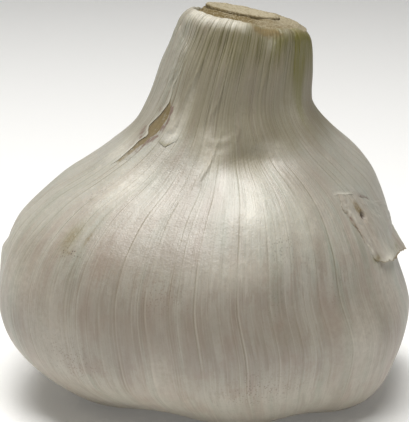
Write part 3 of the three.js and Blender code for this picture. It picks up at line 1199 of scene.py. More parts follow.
@dataclass(frozen=True)
class CutFibre:
    """A dried cut end: matt, in layers of pale pith and browner fibre."""

    name: str
    pale: Colour = from_screen(158, 148, 124)
    deep: Colour = from_screen(108, 92, 56)
    light: Colour = from_screen(188, 178, 154)
    relief: float = 0.0006

    def material(self) -> bpy.types.Material:
        """The finish as a material. The mark `deep` says where the cut is low and brown.

        Returns:
            The material.
        """
        kit = ShaderKit(self.name)
        patch, flake = kit.grain(500.0, 2.0, 0.6), kit.grain(2700.0, 2.0, 0.6)
        grain = kit.grain(1900.0, 3.0, 0.65)
        share = kit.mark("deep") * 0.95 + (patch - 0.45) * 0.8
        colour = kit.coated(self.pale, (
            (share.step(0.0, 1.0), self.deep),
            (grain.step(0.5, 0.62) * 0.5, self.deep),
            (flake.step(0.54, 0.64) * 0.45, self.light),
        ))
        kit.bump(grain * 0.6 + patch * 0.4, self.relief)
        return kit.finish(Base_Color=colour, Roughness=0.78 + grain * 0.15, Specular_IOR_Level=0.3)


@dataclass(frozen=True)
class StudioFloor:
    """The pale matt floor, which sweeps up behind."""

    tint: Colour = (0.90, 0.90, 0.89)
    glow: float = 0.1
    relief: float = 0.00005

    def material(self) -> bpy.types.Material:
        """The finish as a material.

        Returns:
            The material.
        """
        kit = ShaderKit("floor")
        tooth = kit.grain(900.0)
        kit.bump(tooth, self.relief)
        return kit.finish(
            Base_Color=self.tint, Roughness=0.75 + tooth * 0.1, Specular_IOR_Level=0.2,
            Emission_Color=self.tint, Emission_Strength=self.glow,
        )


# ---------------------------------------------------------------------------------- Sub-assemblies


def settle(surface: Surface, name: str, node: str, finish: PaperySkin | CutFibre) -> None:
    """Makes a piece, dresses it and ties it to the frame.

    Args:
        surface: The piece's shape.
        name: The piece's own name.
        node: The CAD node it stands for.
        finish: What it is made of.
    """
    piece = surface.make(name)
    piece.data.materials.append(finish.material())
    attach(piece, BODY)
    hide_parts(node)
    log.info("%s: %d faces", piece.name, len(piece.data.polygons))


@dataclass(frozen=True)
class Spot:
    """A soft round place on the skin, for stains, sunken holes, and painted light and shade."""

    azimuth: float
    level: float
    width: float
    height: float
    strength: float = 1.0

    def share(self, azimuth: Array, level: Array) -> Array:
        """How much of the spot a place gets, from 0 to 1.

        Args:
            azimuth: Round the bulb, in degrees.
            level: Up the bulb.

        Returns:
            The shares, times the strength.
        """
        across = turn_between(azimuth, self.azimuth) / self.width
        along = (level - self.level) / self.height
        return self.strength * np.exp(-(across**2) - along**2)


@dataclass(frozen=True)
class Slit:
    """The split in the outermost skin on the left shoulder, where a brown layer shows.

    Its two borders are (level, azimuth) points: the outer skin's edge on the left, and on the right the
    frayed edge of the skin that covers the front.
    """

    outer: Path = (
        (9.2, -61.8), (9.4, -60.5), (9.6, -59.7), (9.8, -58.8), (10.0, -58.6), (10.1, -57.2), (10.18, -55.2),
        (10.26, -54.8), (10.34, -56.6), (10.47, -57.8), (10.62, -56.2), (10.8, -53.8), (11.0, -51.0),
        (11.15, -49.6), (11.4, -50), (11.55, -51), (11.7, -49), (11.95, -46.5), (12.05, -47), (12.5, -46),
        (12.9, -50), (14.0, -56),
    )
    frayed: Path = (
        (9.2, -61.8), (9.33, -59.2), (9.46, -57.4), (9.65, -56.2), (9.83, -54.2), (10.12, -51.4),
        (10.28, -48.8), (10.5, -47.2), (10.74, -45.4), (11.0, -46.6), (11.15, -48.3), (11.3, -49.6),
    )
    depth: float = 0.03

    def share(self, azimuth: Array, level: Array) -> Array:
        """1 in the split and a little way under its borders, 0 elsewhere.

        Args:
            azimuth: Round the bulb, in degrees.
            level: Up the bulb.

        Returns:
            The shares.
        """
        azimuth = turn_between(azimuth, 0.0)
        outer, frayed = along_path(level, self.outer), along_path(level, self.frayed)
        between = plateau(azimuth, outer - 3, outer - 1, frayed - 0.5, frayed + 1)
        return between * plateau(level, 9.25, 9.4, 11.1, 11.3)

    def shade(self, azimuth: Array, level: Array) -> Array:
        """Painted shade: the darker strip of the split beside the outer skin's edge."""
        away = turn_between(azimuth, 0.0) - along_path(level, self.outer)
        return hump(away, 3.0) * plateau(level, 9.2, 9.6, 10.9, 11.15)


def spots(*rows: tuple[float, ...]) -> tuple[Spot, ...]:
    """Spots from rows of azimuth, level, width, height and, unless it is 1, strength."""
    return tuple(Spot(*row) for row in rows)


SLIT = Slit()
FLAP_HOLE = Spot(62.9, 7.67, 1.1, 0.09)
HOLE_DEPTH = 0.9
STAINS = spots(
    (-47, 7.45, 2.6, 0.36, 0.4), (-40.8, 7.45, 0.8, 0.22, 0.65), (-45, 7.08, 2.6, 0.1, 0.4),
    (-52, 8.3, 1.6, 0.12, 0.3), (-55, 8.7, 1.6, 0.12, 0.25), (70, 6.2, 9.0, 0.22, 0.25),
    (59.3, 6.66, 1.4, 0.1, 0.5), (62, 6.44, 3.0, 0.08, 0.3), (-30, 4.6, 5.0, 0.5, 0.12),
    (25, 5.4, 13.0, 0.5, 0.16),
)
# Olive tints on the neck; the wide one at 76 degrees also darkens the neck's right edge, partly painted
# shade.
OLIVE_PLACES = spots(
    (54, 12.6, 8.5, 1.1, 1.15), (56.5, 11.4, 4.0, 0.7, 0.6), (76, 13.2, 14.0, 1.0, 0.45),
    (56, 13.6, 22.0, 0.35, 0.35), (27, 13.3, 6.0, 0.6, 0.5), (-47, 7.45, 2.6, 0.36, 0.34),
    (59.6, 6.64, 1.6, 0.12, 0.35),
)
PEPPERED = spots(
    (-43.5, 7.08, 4.2, 0.14), (-53, 8.5, 3.0, 0.3, 0.5), (-40, 4.6, 9.0, 0.5, 0.5), (15, 4.2, 14.0, 0.5, 0.4),
    (-20, 8.8, 8.0, 0.6, 0.3), (-12, 6.4, 8.0, 0.4, 0.35), (24, 7.4, 6.0, 0.5, 0.35),
    (150, 6.0, 25.0, 1.2, 0.5), (-140, 5.2, 20.0, 1.0, 0.5),
)
# Darker places: thinner skin, and painted shade, such as in the valleys between cloves and low on the right.
THIN_SKIN_AND_SHADE_PLACES = spots(
    (-13, 8.6, 7.0, 0.9, 0.48), (-34, 7.0, 18.0, 0.45, 0.42), (-62, 6.9, 12.0, 0.5, 0.4),
    (-12, 7.1, 12.0, 0.45, 0.45), (36, 8.8, 6.0, 0.9, 0.1), (-3.5, 8.3, 6.0, 0.8, 0.45),
    (45, 9.2, 12.0, 0.7, 0.5), (-18, 7.45, 20.0, 0.25, 0.45), (-28, 5.8, 26.0, 0.8, 0.38),
    (-33, 9.65, 8.0, 0.3, 0.4), (-24, 9.3, 8.0, 0.5, 0.35), (-2, 7.3, 12.0, 0.3, 0.3),
    (60, 4.8, 13.0, 0.9, 0.24), (80, 4.6, 12.0, 1.0, 0.45), (2, 6.0, 5.0, 0.7, 0.3),
    (-20, 5.6, 6.0, 0.6, 0.22), (-27, 10.0, 5.0, 0.35, 0.35), (-6, 12.9, 9.0, 0.6, 0.35),
)
# Painted light: places whose colour is made brighter, standing in for light falling on the skin.
PAINTED_LIGHT_PLACES = spots(
    (24, 7.9, 7.0, 0.5, 0.3), (-45, 8.8, 7.0, 0.6, 0.3), (14, 8.45, 4.5, 0.6, 0.3),
    (-78, 6.4, 15.0, 1.2, 0.3), (66, 6.0, 12.0, 0.8, 0.35), (-66, 9.6, 8.0, 0.5, 0.4),
    (-8, 10.0, 8.0, 0.22, 0.3), (27, 10.0, 9.0, 0.25, 0.36), (-15, 10.4, 6.0, 0.3, 0.3),
    (-33, 11.1, 4.0, 0.6, 0.3), (-37, 10.45, 4.0, 0.3, 0.4), (-42, 10.9, 2.5, 0.4, 0.3),
    (-58, 6.2, 10.0, 0.6, 0.2), (-45, 5.2, 10.0, 0.8, 0.2), (52, 10.9, 13.0, 0.6, 0.22),
    (35.5, 5.25, 5.0, 0.8, 0.1), (12, 6.95, 11.0, 0.35, 0.22), (34, 8.1, 5.0, 0.7, 0.26),
    (-13, 4.7, 6.0, 0.6, 0.22), (46, 5.1, 7.0, 0.7, 0.3), (-9, 9.6, 4.0, 0.3, 0.25),
    (22, 13.3, 5.0, 0.4, 0.25),
)
# The bright, dark, thin, belly and neck marks also carry painted light and shade.
MARKS = (
    "brown", "green", "dark", "pink", "pale", "bright", "neck", "thin", "belly", "pepper", "plum",
)


def total(places: tuple[Spot, ...], azimuth: Array, level: Array) -> Array:
    """The share of several spots together."""
    return np.clip(sum(spot.share(azimuth, level) for spot in places), 0, 1)


def all_marks(azimuth: Array, level: Array, **given: Array) -> dict[str, Array]:
    """Every mark that the skin's finish reads, clipped to 0 and 1.

    Marks that aren't given are 0, but for those that follow from the place alone: the neck's duller
    skin, which reaches lower over the front clove as painted shadow under the neck, its paler left, the
    thin places, which are thinner skin and painted shade, the duller middle of the belly, which is painted
    shade, and the peppered places. The light places add painted light to the bright mark.

    Args:
        azimuth: Where the points are round the bulb.
        level: Where they are up the bulb.
        given: Further marks, by name.

    Returns:
        The marks by name, in the order of MARKS.
    """
    azimuth = turn_between(azimuth, 0.0)
    # Painted shadow: the neck's darker colour reaches lower over the front clove, where the neck shades its
    # shoulder.
    shadow_over_front_clove = hump(azimuth - 10.0, 22.0)
    neck_start = 9.5 - 0.42 * shadow_over_front_clove + 0.12 * Waves(21, 60)(azimuth / 6.0)
    neck_start += 0.75 * hump(azimuth + 38.0, 11.0)
    # Painted shade: the belly mark darkens the middle of the belly, most at the front.
    belly_shade_front = 1 - 0.6 * rise(np.abs(azimuth), 48.0, 75.0)
    marks = {
        "neck": rise(level, neck_start, neck_start + 1.1 - 0.6 * shadow_over_front_clove),
        "pale": rise(-azimuth, 34.0, 62.0) * rise(level, 9.5, 11.0),
        "thin": total(THIN_SKIN_AND_SHADE_PLACES, azimuth, level),
        "belly": plateau(level, 3.4, 5.0, 5.7, 7.3) * belly_shade_front,
        "pepper": total(PEPPERED, azimuth, level),
        **given,
    }
    # Painted light from the light places adds to the bright mark.
    marks["bright"] = marks.get("bright", 0.0) + total(PAINTED_LIGHT_PLACES, azimuth, level)
    return {name: np.clip(marks.get(name, 0.0) + 0.0 * azimuth, 0, 1) for name in MARKS}


@dataclass
class Bulb:
    """Cloves and neck in their skin, hollowed under the base and in the cut end."""

    relief: SkinRelief
    columns_per_vein: int = 6
    outer_rows: int = 204
    rim_rows: int = 12
    path_steps: int = 2000
    rounding: float = 1.9
    rounding_height: float = 3.0
    rim_wall: float = 2.25
    notch_depth: float = 0.55
    torn_levels: float = 1.2
    torn_drops: tuple[float, float] = (-1.6, -0.3)
    recess: float = 4.3
    recess_floor_width: float = 3.75
    first_cut_step: float = 0.01
    cut_level_step: float = 0.1
    base_ceiling: float = 5.85

    def rim_unevenness(self, azimuth: Array) -> Array:
        """How far the torn rim stands above the smooth cut: uneven, with one notch at the front."""
        uneven = 0.2 * Waves(31, 24)(azimuth / 15.0) + 0.15 * Waves(32, 72)(azimuth / 5.0)
        return uneven - self.notch_depth * facing(azimuth, 24.0, 9.0)

    def levels(self) -> Array:
        """Levels of the outer rows, evenly spaced along the front meridian and closer on the round rim.

        Returns:
            The levels, from the foot to the rim.
        """
        form = self.relief.form
        span = self.rounding_height / (form.rim[1] - form.stations[-2][1])
        top = form.rim_level - span
        fine = np.linspace(0, top, self.path_steps)
        path = form.point(np.zeros_like(fine), fine)
        run = np.concatenate([[0], np.cumsum(np.linalg.norm(np.diff(path, axis=0), axis=1))])
        turns = np.linspace(0, math.pi / 2, self.rim_rows + 1)[1:]
        return np.concatenate([
            np.interp(np.linspace(0, run[-1], self.outer_rows), run, fine), top + span * np.sin(turns),
        ])

    def inset(self, level: Array) -> Array:
        """How far in the round rim curves at a level: a quarter of an ellipse.

        Args:
            level: Up the bulb.

        Returns:
            Millimetres inwards.
        """
        form = self.relief.form
        below = (form.rim_level - level) * (form.rim[1] - form.stations[-2][1])
        share = np.clip(1 - below / self.rounding_height, 0, 1)
        return self.rounding * (1 - np.sqrt(1 - share**2))

    def lip(self) -> list[tuple[float, float]]:
        """The rim's profile inside its top, (inset, height over the cut): a ragged drop to the recess.

        Returns:
            The profile, from the rim down to the floor of the recess.
        """
        wall, floor = self.rim_wall, -self.recess
        return [
            (wall - 0.15, -0.08), (wall, -0.45), (wall + 0.04, -1.4), (wall + 0.06, floor),
            (wall + self.recess_floor_width, floor),
        ]

    def rings(self) -> tuple[Array, Array]:
        """The rings from the base's hollow over the outside and the rim down into the neck.

        Returns:
            The rings (ring, column, 3), and each ring's level for the pattern map.
        """
        form = self.relief.form
        vein = np.arange(SkinRelief.VEINS * self.columns_per_vein) / self.columns_per_vein
        levels = self.levels()
        vein_grid, level_grid = np.meshgrid(vein, levels)
        azimuth = self.relief.azimuth_of(vein_grid, level_grid)
        sunk = SLIT.depth * SLIT.share(azimuth, level_grid)
        sunk += HOLE_DEPTH * FLAP_HOLE.share(azimuth, level_grid)
        outer = self.relief.point(azimuth, level_grid, -sunk)
        inset, turn = self.inset(level_grid), np.radians(azimuth)
        outer[..., 0] -= inset * np.sin(turn)
        outer[..., 1] += inset * np.cos(turn)
        top = self.relief.azimuth_of(vein, np.full_like(vein, form.rim_level))
        torn = self.rim_unevenness(top)
        near_top = rise(levels, form.rim_level - self.torn_levels, form.rim_level)[:, None]
        outer[..., 2] += near_top * torn
        radius = form.rim[0] + self.relief.height(top, np.full_like(top, form.rim_level))
        sine, cosine = np.sin(np.radians(top)), np.cos(np.radians(top))
        inner = []
        for inset, drop in self.lip():
            across = radius - inset
            share = torn * float(rise(drop, *self.torn_drops))
            inner.append(form.cut(form.rim[2] + across * sine, -across * cosine, drop + share))
        base_edge = outer[0].copy()
        base_edge[:, 2] = self.base_ceiling
        rings = np.concatenate([base_edge[None], outer, np.array(inner)])
        beyond = form.rim_level + self.cut_level_step * np.arange(len(inner))
        beyond[0] += self.first_cut_step
        ring_levels = np.concatenate([[0.0], levels, beyond])
        return rings, ring_levels

    def build(self) -> None:
        """Makes and dresses the bulb."""
        rings, ring_levels = self.rings()
        rows, columns = rings.shape[:2]

        def pattern(row: Array, column: Array) -> Array:
            """Veins round the bulb and levels up it."""
            level = np.interp(row, np.arange(rows), ring_levels)
            return np.stack([column / self.columns_per_vein, level], -1)

        surface = stacked_surface(rings, pattern)
        vein = np.tile(np.arange(columns) / self.columns_per_vein, rows)
        level = np.repeat(ring_levels, columns)
        azimuth = self.relief.azimuth_of(vein, np.minimum(level, self.relief.form.rim_level))
        for name, values in self.marks(azimuth, level).items():
            surface.marks[name] = with_ends(values)
        settle(surface, "bulb_skin", "bulb", PaperySkin(Layer.BULB))

    def marks(self, azimuth: Array, level: Array) -> dict[str, Array]:
        """Where the skin is stained: brown in the slit and the cut, green on the neck's right. Painted shade
        darkens the slit and the flap's hole, and a painted highlight lightens the rim's front.

        Args:
            azimuth: Round the bulb, in degrees.
            level: Up the bulb.

        Returns:
            The marks by name.
        """
        rim = self.relief.form.rim_level
        azimuth = turn_between(azimuth, 0.0)
        cut = rise(level, rim + 0.04, rim + 0.16)
        green = 1.6 * total(OLIVE_PLACES, azimuth, level)
        green += 0.35 * hump(azimuth - 4.0, 32.0) * rise(level, 11.6, 13.2)
        opened = SLIT.share(azimuth, level) * (0.6 + 0.3 * rise(level, 9.6, 10.0))
        rim_stains = spots((17, rim - 0.14, 14.0, 0.24, 1.5), (58, rim - 0.1, 14.0, 0.1, 0.4))
        torn = sum(spot.share(azimuth, level) for spot in rim_stains)
        torn *= 0.8 + 0.5 * Waves(34, 120)(azimuth / 3, level * 9)
        brown = cut + opened + torn + 0.7 * fall(level, 0.2, 1.6) + total(STAINS, azimuth, level)
        # Painted shade: a darker strip in the slit beside the outer skin's edge, and dark in the flap's hole.
        dark = 0.3 * SLIT.shade(azimuth, level) + 0.8 * FLAP_HOLE.share(azimuth, level)
        # Painted highlight: a bright, paler band round the front of the rounded rim, which faces the overhead
        # light.
        band_start = rim - 0.6 + 0.15 * Waves(33, 48)(azimuth / 7.5)
        rim_highlight_band = rise(level, band_start, rim - 0.1) * plateau(azimuth, -75.0, -60.0, -10.0, 8.0) * (1 - cut)
        marks = all_marks(
            azimuth, level, brown=brown, green=green * (1 - cut), dark=dark, bright=0.4 * rim_highlight_band,
        )
        marks["pale"] = np.maximum(marks["pale"], rim_highlight_band)
        return marks


@dataclass(frozen=True)
class Places:
    """Places on a patch: shares across and along it, and the azimuths and levels where they lie."""

    across: Array
    along: Array
    azimuth: Array
    level: Array


@dataclass
class SkinPatch:
    """A thin closed piece of skin that lies over the bulb and shares its veins.

    Left and right borders are (level, azimuth) points, low and high ones (share across, level), and
    `tatters` says how far each of the four wavers, in degrees or levels. `lift` says how far the patch
    stands off, in millimetres: below zero, it melts into the bulb.
    """

    SIDE_WAVES = 3
    END_WAVES = 12

    left: Path
    right: Path
    low: Path
    high: Path
    rows: int
    columns: int
    tatters: tuple[float, float, float, float]
    seed: int
    thickness: float = 0.16

    def ragged(self, place: Array, side: int) -> Array:
        """A torn border's waver along it: coarse waves with finer ones on them."""
        coarse, fine = Waves(self.seed + side, 64), Waves(self.seed + side + 10, 128)
        return self.tatters[side] * (0.65 * coarse(place * 1.7) + 0.35 * fine(place * 5.3))

    def lift(self, at: Places) -> Array:
        """How far the patch stands off the skin under it, in millimetres."""
        raise NotImplementedError

    def marks(self, at: Places) -> dict[str, Array]:
        """The patch's marks by name."""
        raise NotImplementedError

    def surface(self, relief: SkinRelief) -> Surface:
        """The patch as a closed surface, laid over a relief.

        Args:
            relief: The skin that it lies on.

        Returns:
            The closed surface with its maps and marks.
        """
        across, along = np.meshgrid(crisp_shares(self.columns), crisp_shares(self.rows))
        low = along_path(across, self.low) + self.ragged(across * self.END_WAVES, 2)
        high = along_path(across, self.high) + self.ragged(across * self.END_WAVES, 3)
        level = low + along * (high - low)
        left = along_path(level, self.left) + self.ragged(level * self.SIDE_WAVES, 0)
        right = along_path(level, self.right) + self.ragged(level * self.SIDE_WAVES, 1)
        azimuth = left + across * (right - left)
        at = Places(across, along, azimuth, level)
        lift = self.lift(at)
        pattern = np.stack([relief.vein_at(azimuth, level), level], -1)
        upper, under = (relief.point(azimuth, level, lift - drop) for drop in (0.0, self.thickness))
        sheet = sheet_surface(upper, under, pattern)
        sheet.marks = {name: np.tile(values.ravel(), 2) for name, values in self.marks(at).items()}
        return sheet


class Wrapper(SkinPatch):
    """What is left of the outermost skin, on the left and back of the neck.

    Each pleat behind the slit is its height, its middle and spread across, and the levels between which
    it comes and goes.
    """

    PLEATS = (
        (0.4, 0.035, 0.014, (10.9, 11.4, 12.2, 13.0)),
        (0.35, 0.08, 0.016, (10.6, 11.6, 12.2, 13.0)),
        (0.25, 0.15, 0.02, (10.9, 12.2, 15.0, 16.0)),
    )
    THREADS = spots(
        (-61, 10.3, 2.4, 0.14, 0.75), (-58.6, 10.12, 1.0, 0.05, 1.0), (-55.5, 10.95, 1.4, 0.1, 0.6),
        (-61.5, 9.9, 1.6, 0.2, 0.4), (-53, 11.3, 1.0, 0.2, 0.35),
    )

    def lift(self, at: Places) -> Array:
        """Pleated behind the slit, loose at the torn back and low edges, melting away low on the left.

        Args:
            at: Where on the patch.

        Returns:
            Millimetres off the skin under it.
        """
        curl = 0.03 * hump(at.across, 0.05) * plateau(at.level, 9.3, 9.8, 11.0, 11.4)
        pleats = sum(
            height * hump(at.across - middle, spread) * plateau(at.level, *levels)
            for height, middle, spread, levels in self.PLEATS
        )
        torn = rise(at.across, 0.93, 1.0) + fall(at.along, 0.0, 0.12) * rise(at.across, 0.4, 0.6)
        loose = 0.25 * np.clip(0.4 + 0.8 * Waves(45, 48)(at.across * 24, at.level * 1.6), 0, 1)
        merging = 0.36 * fall(at.across, 0.0, 0.05) * rise(at.level, 12.0, 12.6)
        sinking = 0.5 * fall(at.along, 0.0, 0.16) * fall(at.across, 0.35, 0.6)
        return 0.1 + curl + pleats + loose * torn - merging - sinking - 0.22 * rise(at.along, 0.93, 1.0)

    def marks(self, at: Places) -> dict[str, Array]:
        """A painted highlight along its front edge beside the slit, with a few purplish threads."""
        # Painted highlight along the front edge.
        bright = 0.35 * hump(at.across, 0.012) * plateau(at.level, 9.3, 9.8, 11.6, 12.2)
        return all_marks(at.azimuth, at.level, bright=bright, plum=total(self.THREADS, at.azimuth, at.level))


class SlitLip(SkinPatch):
    """The frayed edge of the front skin along the slit's right."""

    def lift(self, at: Places) -> Array:
        """Lifted at its frayed edge, melting into the bulb on the other three sides."""
        ends = np.maximum(fall(at.along, 0.0, 0.2), rise(at.along, 0.85, 1.0))
        return 0.1 + 0.05 * hump(at.across, 0.12) - 0.32 * np.maximum(rise(at.across, 0.1, 1.0), ends)

    def marks(self, at: Places) -> dict[str, Array]:
        """Purplish fibres along the frayed edge.

        Args:
            at: Where on the patch.

        Returns:
            The marks by name.
        """
        frayed = fall(at.across, 0.1, 0.6) * rise(at.along, 0.15, 0.4)
        threads = np.clip(0.7 + 1.2 * Waves(57, 64)(at.azimuth * 1.3 - at.level * 3, at.level * 6.0), 0, 1)
        return all_marks(at.azimuth, at.level, plum=1.3 * frayed * threads)


class TornTab(SkinPatch):
    """A small pointed tab, torn loose beside the slit."""

    def lift(self, at: Places) -> Array:
        """Lifted at its point, melting into the bulb above and at its sides."""
        return 0.14 * plateau(at.across, 0.0, 0.25, 0.75, 1.0) * (1 - at.along) ** 2 - 0.02

    def marks(self, at: Places) -> dict[str, Array]:
        """Olive and brown along its torn edge, painted shadow under its lifted point, and whitish above it, a
        painted highlight.

        Args:
            at: Where on the patch.

        Returns:
            The marks by name.
        """
        middle = hump(at.across - 0.5, 0.3)
        # Painted shadow under the torn edge, in olive and brown.
        edge = fall(at.along, 0.0, 0.3) * middle
        # Painted highlight above the edge.
        bright = 0.45 * hump(at.along - 0.45, 0.22) * middle
        return all_marks(at.azimuth, at.level, green=0.6 * edge, brown=0.4 * edge, bright=bright)


class Flap(SkinPatch):
    """The torn flap on the right shoulder: held at the top, lifted at its lower end and its spur."""

    STAINS = spots(
        (61.4, 7.98, 1.7, 0.13, 0.55), (62.4, 7.8, 1.7, 0.15, 0.7), (66, 7.6, 3.0, 0.4, 0.2),
        (60.8, 6.64, 1.1, 0.09, 0.6), (74, 6.36, 5.0, 0.03, 0.7), (56, 7.6, 0.8, 0.25, 0.35),
    )
    OLIVE = spots((80, 6.5, 2.6, 0.06, 0.7), (60.6, 6.66, 1.2, 0.1, 0.6))
    CRUMBS = spots(
        (56.0, 7.9, 0.9, 0.1, 0.5), (57.2, 7.7, 0.9, 0.1, 0.5), (57.6, 7.0, 0.9, 0.07, 0.9),
        (55.4, 8.1, 0.7, 0.06, 0.4), (58.8, 6.86, 0.8, 0.05, 0.6), (68, 6.48, 4.5, 0.07, 0.6),
    )
    SEAM = ((6.6, 61.8), (6.76, 60.6), (6.92, 59.6), (7.12, 57.8), (7.4, 56.4), (7.6, 55.5), (8.0, 54.4))

    def lift(self, at: Places) -> Array:
        """Close at the top and on the left, more and more lifted towards the lower end and the spur.

        Args:
            at: Where on the patch.

        Returns:
            Millimetres off the skin under it.
        """
        lobe = plateau(at.across, 0.0, 0.1, 0.42, 0.56)
        bent = 0.9 * lobe * np.clip(1 - at.along / 0.35, 0, 1) ** 1.5
        spur = 2.6 * rise(at.azimuth, 74.0, 87.0) * np.clip((6.72 - at.level) / 0.5, 0, 1.1)
        ruffle = 0.1 * Waves(61, 32)(at.across * 14, at.along * 8)
        ruffle += 0.05 * Waves(62, 64)(at.across * 34, at.along * 22)
        held_above = rise(at.azimuth, 72.0, 80.0) * rise(at.along, 0.75, 1.0)
        held_behind = rise(at.across, 0.88, 1.0) * rise(at.along, 0.3, 0.5)
        held = 0.1 * rise(at.along, 0.9, 1.0) + 0.45 * np.maximum(held_above, held_behind)
        return 0.13 + bent + spur + ruffle - held - HOLE_DEPTH * FLAP_HOLE.share(at.azimuth, at.level)

    def marks(self, at: Places) -> dict[str, Array]:
        """Brownish round the hole and along its borders, dark in the hole as painted shade, with whitish
        crumbs, a painted highlight on the lifted lower end, and a purplish seam.

        Args:
            at: Where on the patch.

        Returns:
            The marks by name.
        """
        border = 0.3 * fall(at.across, 0.0, 0.025) + 0.5 * fall(at.along, 0.0, 0.03)
        from_seam = at.azimuth - along_path(at.level, self.SEAM)
        seam = hump(from_seam, 0.5) * plateau(at.level, 6.6, 6.75, 7.9, 8.05)
        # Painted highlight on the lifted lower end, which curls up towards the light.
        lifted = 0.3 * fall(at.along, 0.05, 0.35) * hump(at.azimuth - 67.0, 6.0)
        return all_marks(
            at.azimuth, at.level,
            brown=total(self.STAINS, at.azimuth, at.level) + border,
            green=total(self.OLIVE, at.azimuth, at.level),
            # Painted shade: dark in the hole.
            dark=FLAP_HOLE.share(at.azimuth, at.level),
            pink=1 - 0.75 * rise(at.azimuth, 65.0, 73.0),
            bright=lifted + total(self.CRUMBS, at.azimuth, at.level),
            plum=seam * (0.45 + 0.5 * Waves(63, 64)(at.level * 11)),
        )


class FlapLip(SkinPatch):
    """The edge of the skin above the flap, which overlaps it in a shallow arc."""

    def lift(self, at: Places) -> Array:
        """Standing off along the arc, melting into the bulb above and at both ends."""
        ends = np.maximum(fall(at.across, 0.0, 0.25), rise(at.across, 0.8, 1.0))
        return 0.14 - 0.3 * np.maximum(ends, rise(at.along, 0.0, 0.95))

    def marks(self, at: Places) -> dict[str, Array]:
        """Bright along the arc's front part, purplish along its right part.

        Args:
            at: Where on the patch.

        Returns:
            The marks by name.
        """
        edge = fall(at.along, 0.0, 0.18)
        plum = 0.6 * edge * plateau(at.across, 0.46, 0.6, 0.8, 0.95)
        return all_marks(at.azimuth, at.level, bright=0.9 * edge * hump(at.across - 0.32, 0.15), plum=plum)


@dataclass
class LooseSkins:
    """The torn remains of the outermost skin."""

    relief: SkinRelief

    def _lay(self, node: str, patches: tuple[SkinPatch, ...]) -> None:
        """Makes and dresses one piece of several patches."""
        surface = joined([patch.surface(self.relief) for patch in patches])
        settle(surface, node, node, PaperySkin(Layer.LOOSE))

    def wrapper(self) -> None:
        """Makes and dresses the outer skin with the slit's other border and the tab beside it."""
        wrapper = Wrapper(
            left=SLIT.outer,
            right=((8.0, -205.0), (9.5, -214.0), (11.0, -206.0), (12.5, -213.0), (14.0, -204.0)),
            low=((0.0, 8.7), (0.2, 8.6), (0.42, 8.9), (0.6, 9.3), (0.8, 8.8), (1.0, 9.6)),
            high=((0.0, 13.0), (0.06, 13.0), (0.14, 13.3), (0.3, 13.2), (1.0, 13.5)),
            rows=90, columns=330, tatters=(0.4, 2.5, 0.09, 0.075), seed=41, thickness=0.12,
        )
        lip = SlitLip(
            left=SLIT.frayed,
            right=((9.2, -50.0), (10.0, -42.0), (11.4, -38.0)),
            low=((0.0, 9.2), (1.0, 9.2)),
            high=((0.0, 11.25), (1.0, 11.35)),
            rows=90, columns=36, tatters=(1.1, 0.0, 0.0, 0.0), seed=51, thickness=0.1,
        )
        tab = TornTab(
            left=((9.9, -46.5), (10.7, -46.0)),
            right=((9.9, -32.0), (10.7, -32.5)),
            low=(
                (0.0, 10.2), (0.17, 10.11), (0.35, 10.06), (0.52, 10.02), (0.65, 10.09), (0.8, 10.19),
                (1.0, 10.24),
            ),
            high=((0.0, 10.6), (1.0, 10.6)),
            rows=18, columns=44, tatters=(0.0, 0.0, 0.012, 0.0), seed=55, thickness=0.08,
        )
        self._lay("outer_skin", (wrapper, lip, tab))

    def flap(self) -> None:
        """Makes and dresses the flap and the lip of skin over its top."""
        flap = Flap(
            left=(
                (6.3, 60.5), (6.55, 60.3), (6.68, 59.3), (6.79, 58.4), (6.95, 58.0), (7.1, 56.4),
                (7.28, 56.1), (7.45, 55.7), (7.64, 54.8), (7.92, 53.5), (8.17, 53.3), (8.6, 53.8),
            ),
            right=((6.1, 100.0), (7.0, 99.0), (7.4, 96.0), (7.9, 86.0), (8.5, 78.0)),
            low=(
                (0.0, 6.66), (0.02, 6.57), (0.06, 6.5), (0.15, 6.44), (0.31, 6.35), (0.44, 6.35),
                (0.51, 6.37), (0.575, 6.3), (0.67, 6.22), (0.75, 6.38), (0.87, 6.6), (1.0, 6.75),
            ),
            high=((0.0, 8.5), (0.25, 8.5), (0.5, 8.38), (0.7, 8.15), (0.85, 7.9), (1.0, 7.6)),
            rows=90, columns=130, tatters=(0.9, 0.0, 0.0375, 0.0), seed=71,
        )
        lip = FlapLip(
            left=((7.5, 47.0), (9.5, 47.0)),
            right=((7.5, 80.0), (9.5, 80.0)),
            low=(
                (0.0, 8.44), (0.2, 8.43), (0.345, 8.35), (0.46, 8.28), (0.615, 8.13), (0.8, 7.92),
                (1.0, 7.7),
            ),
            high=((0.0, 9.0), (0.5, 9.0), (1.0, 8.6)),
            rows=24, columns=90, tatters=(0.0, 0.0, 0.015, 0.0), seed=75, thickness=0.12,
        )
        self._lay("skin_flap", (flap, lip))


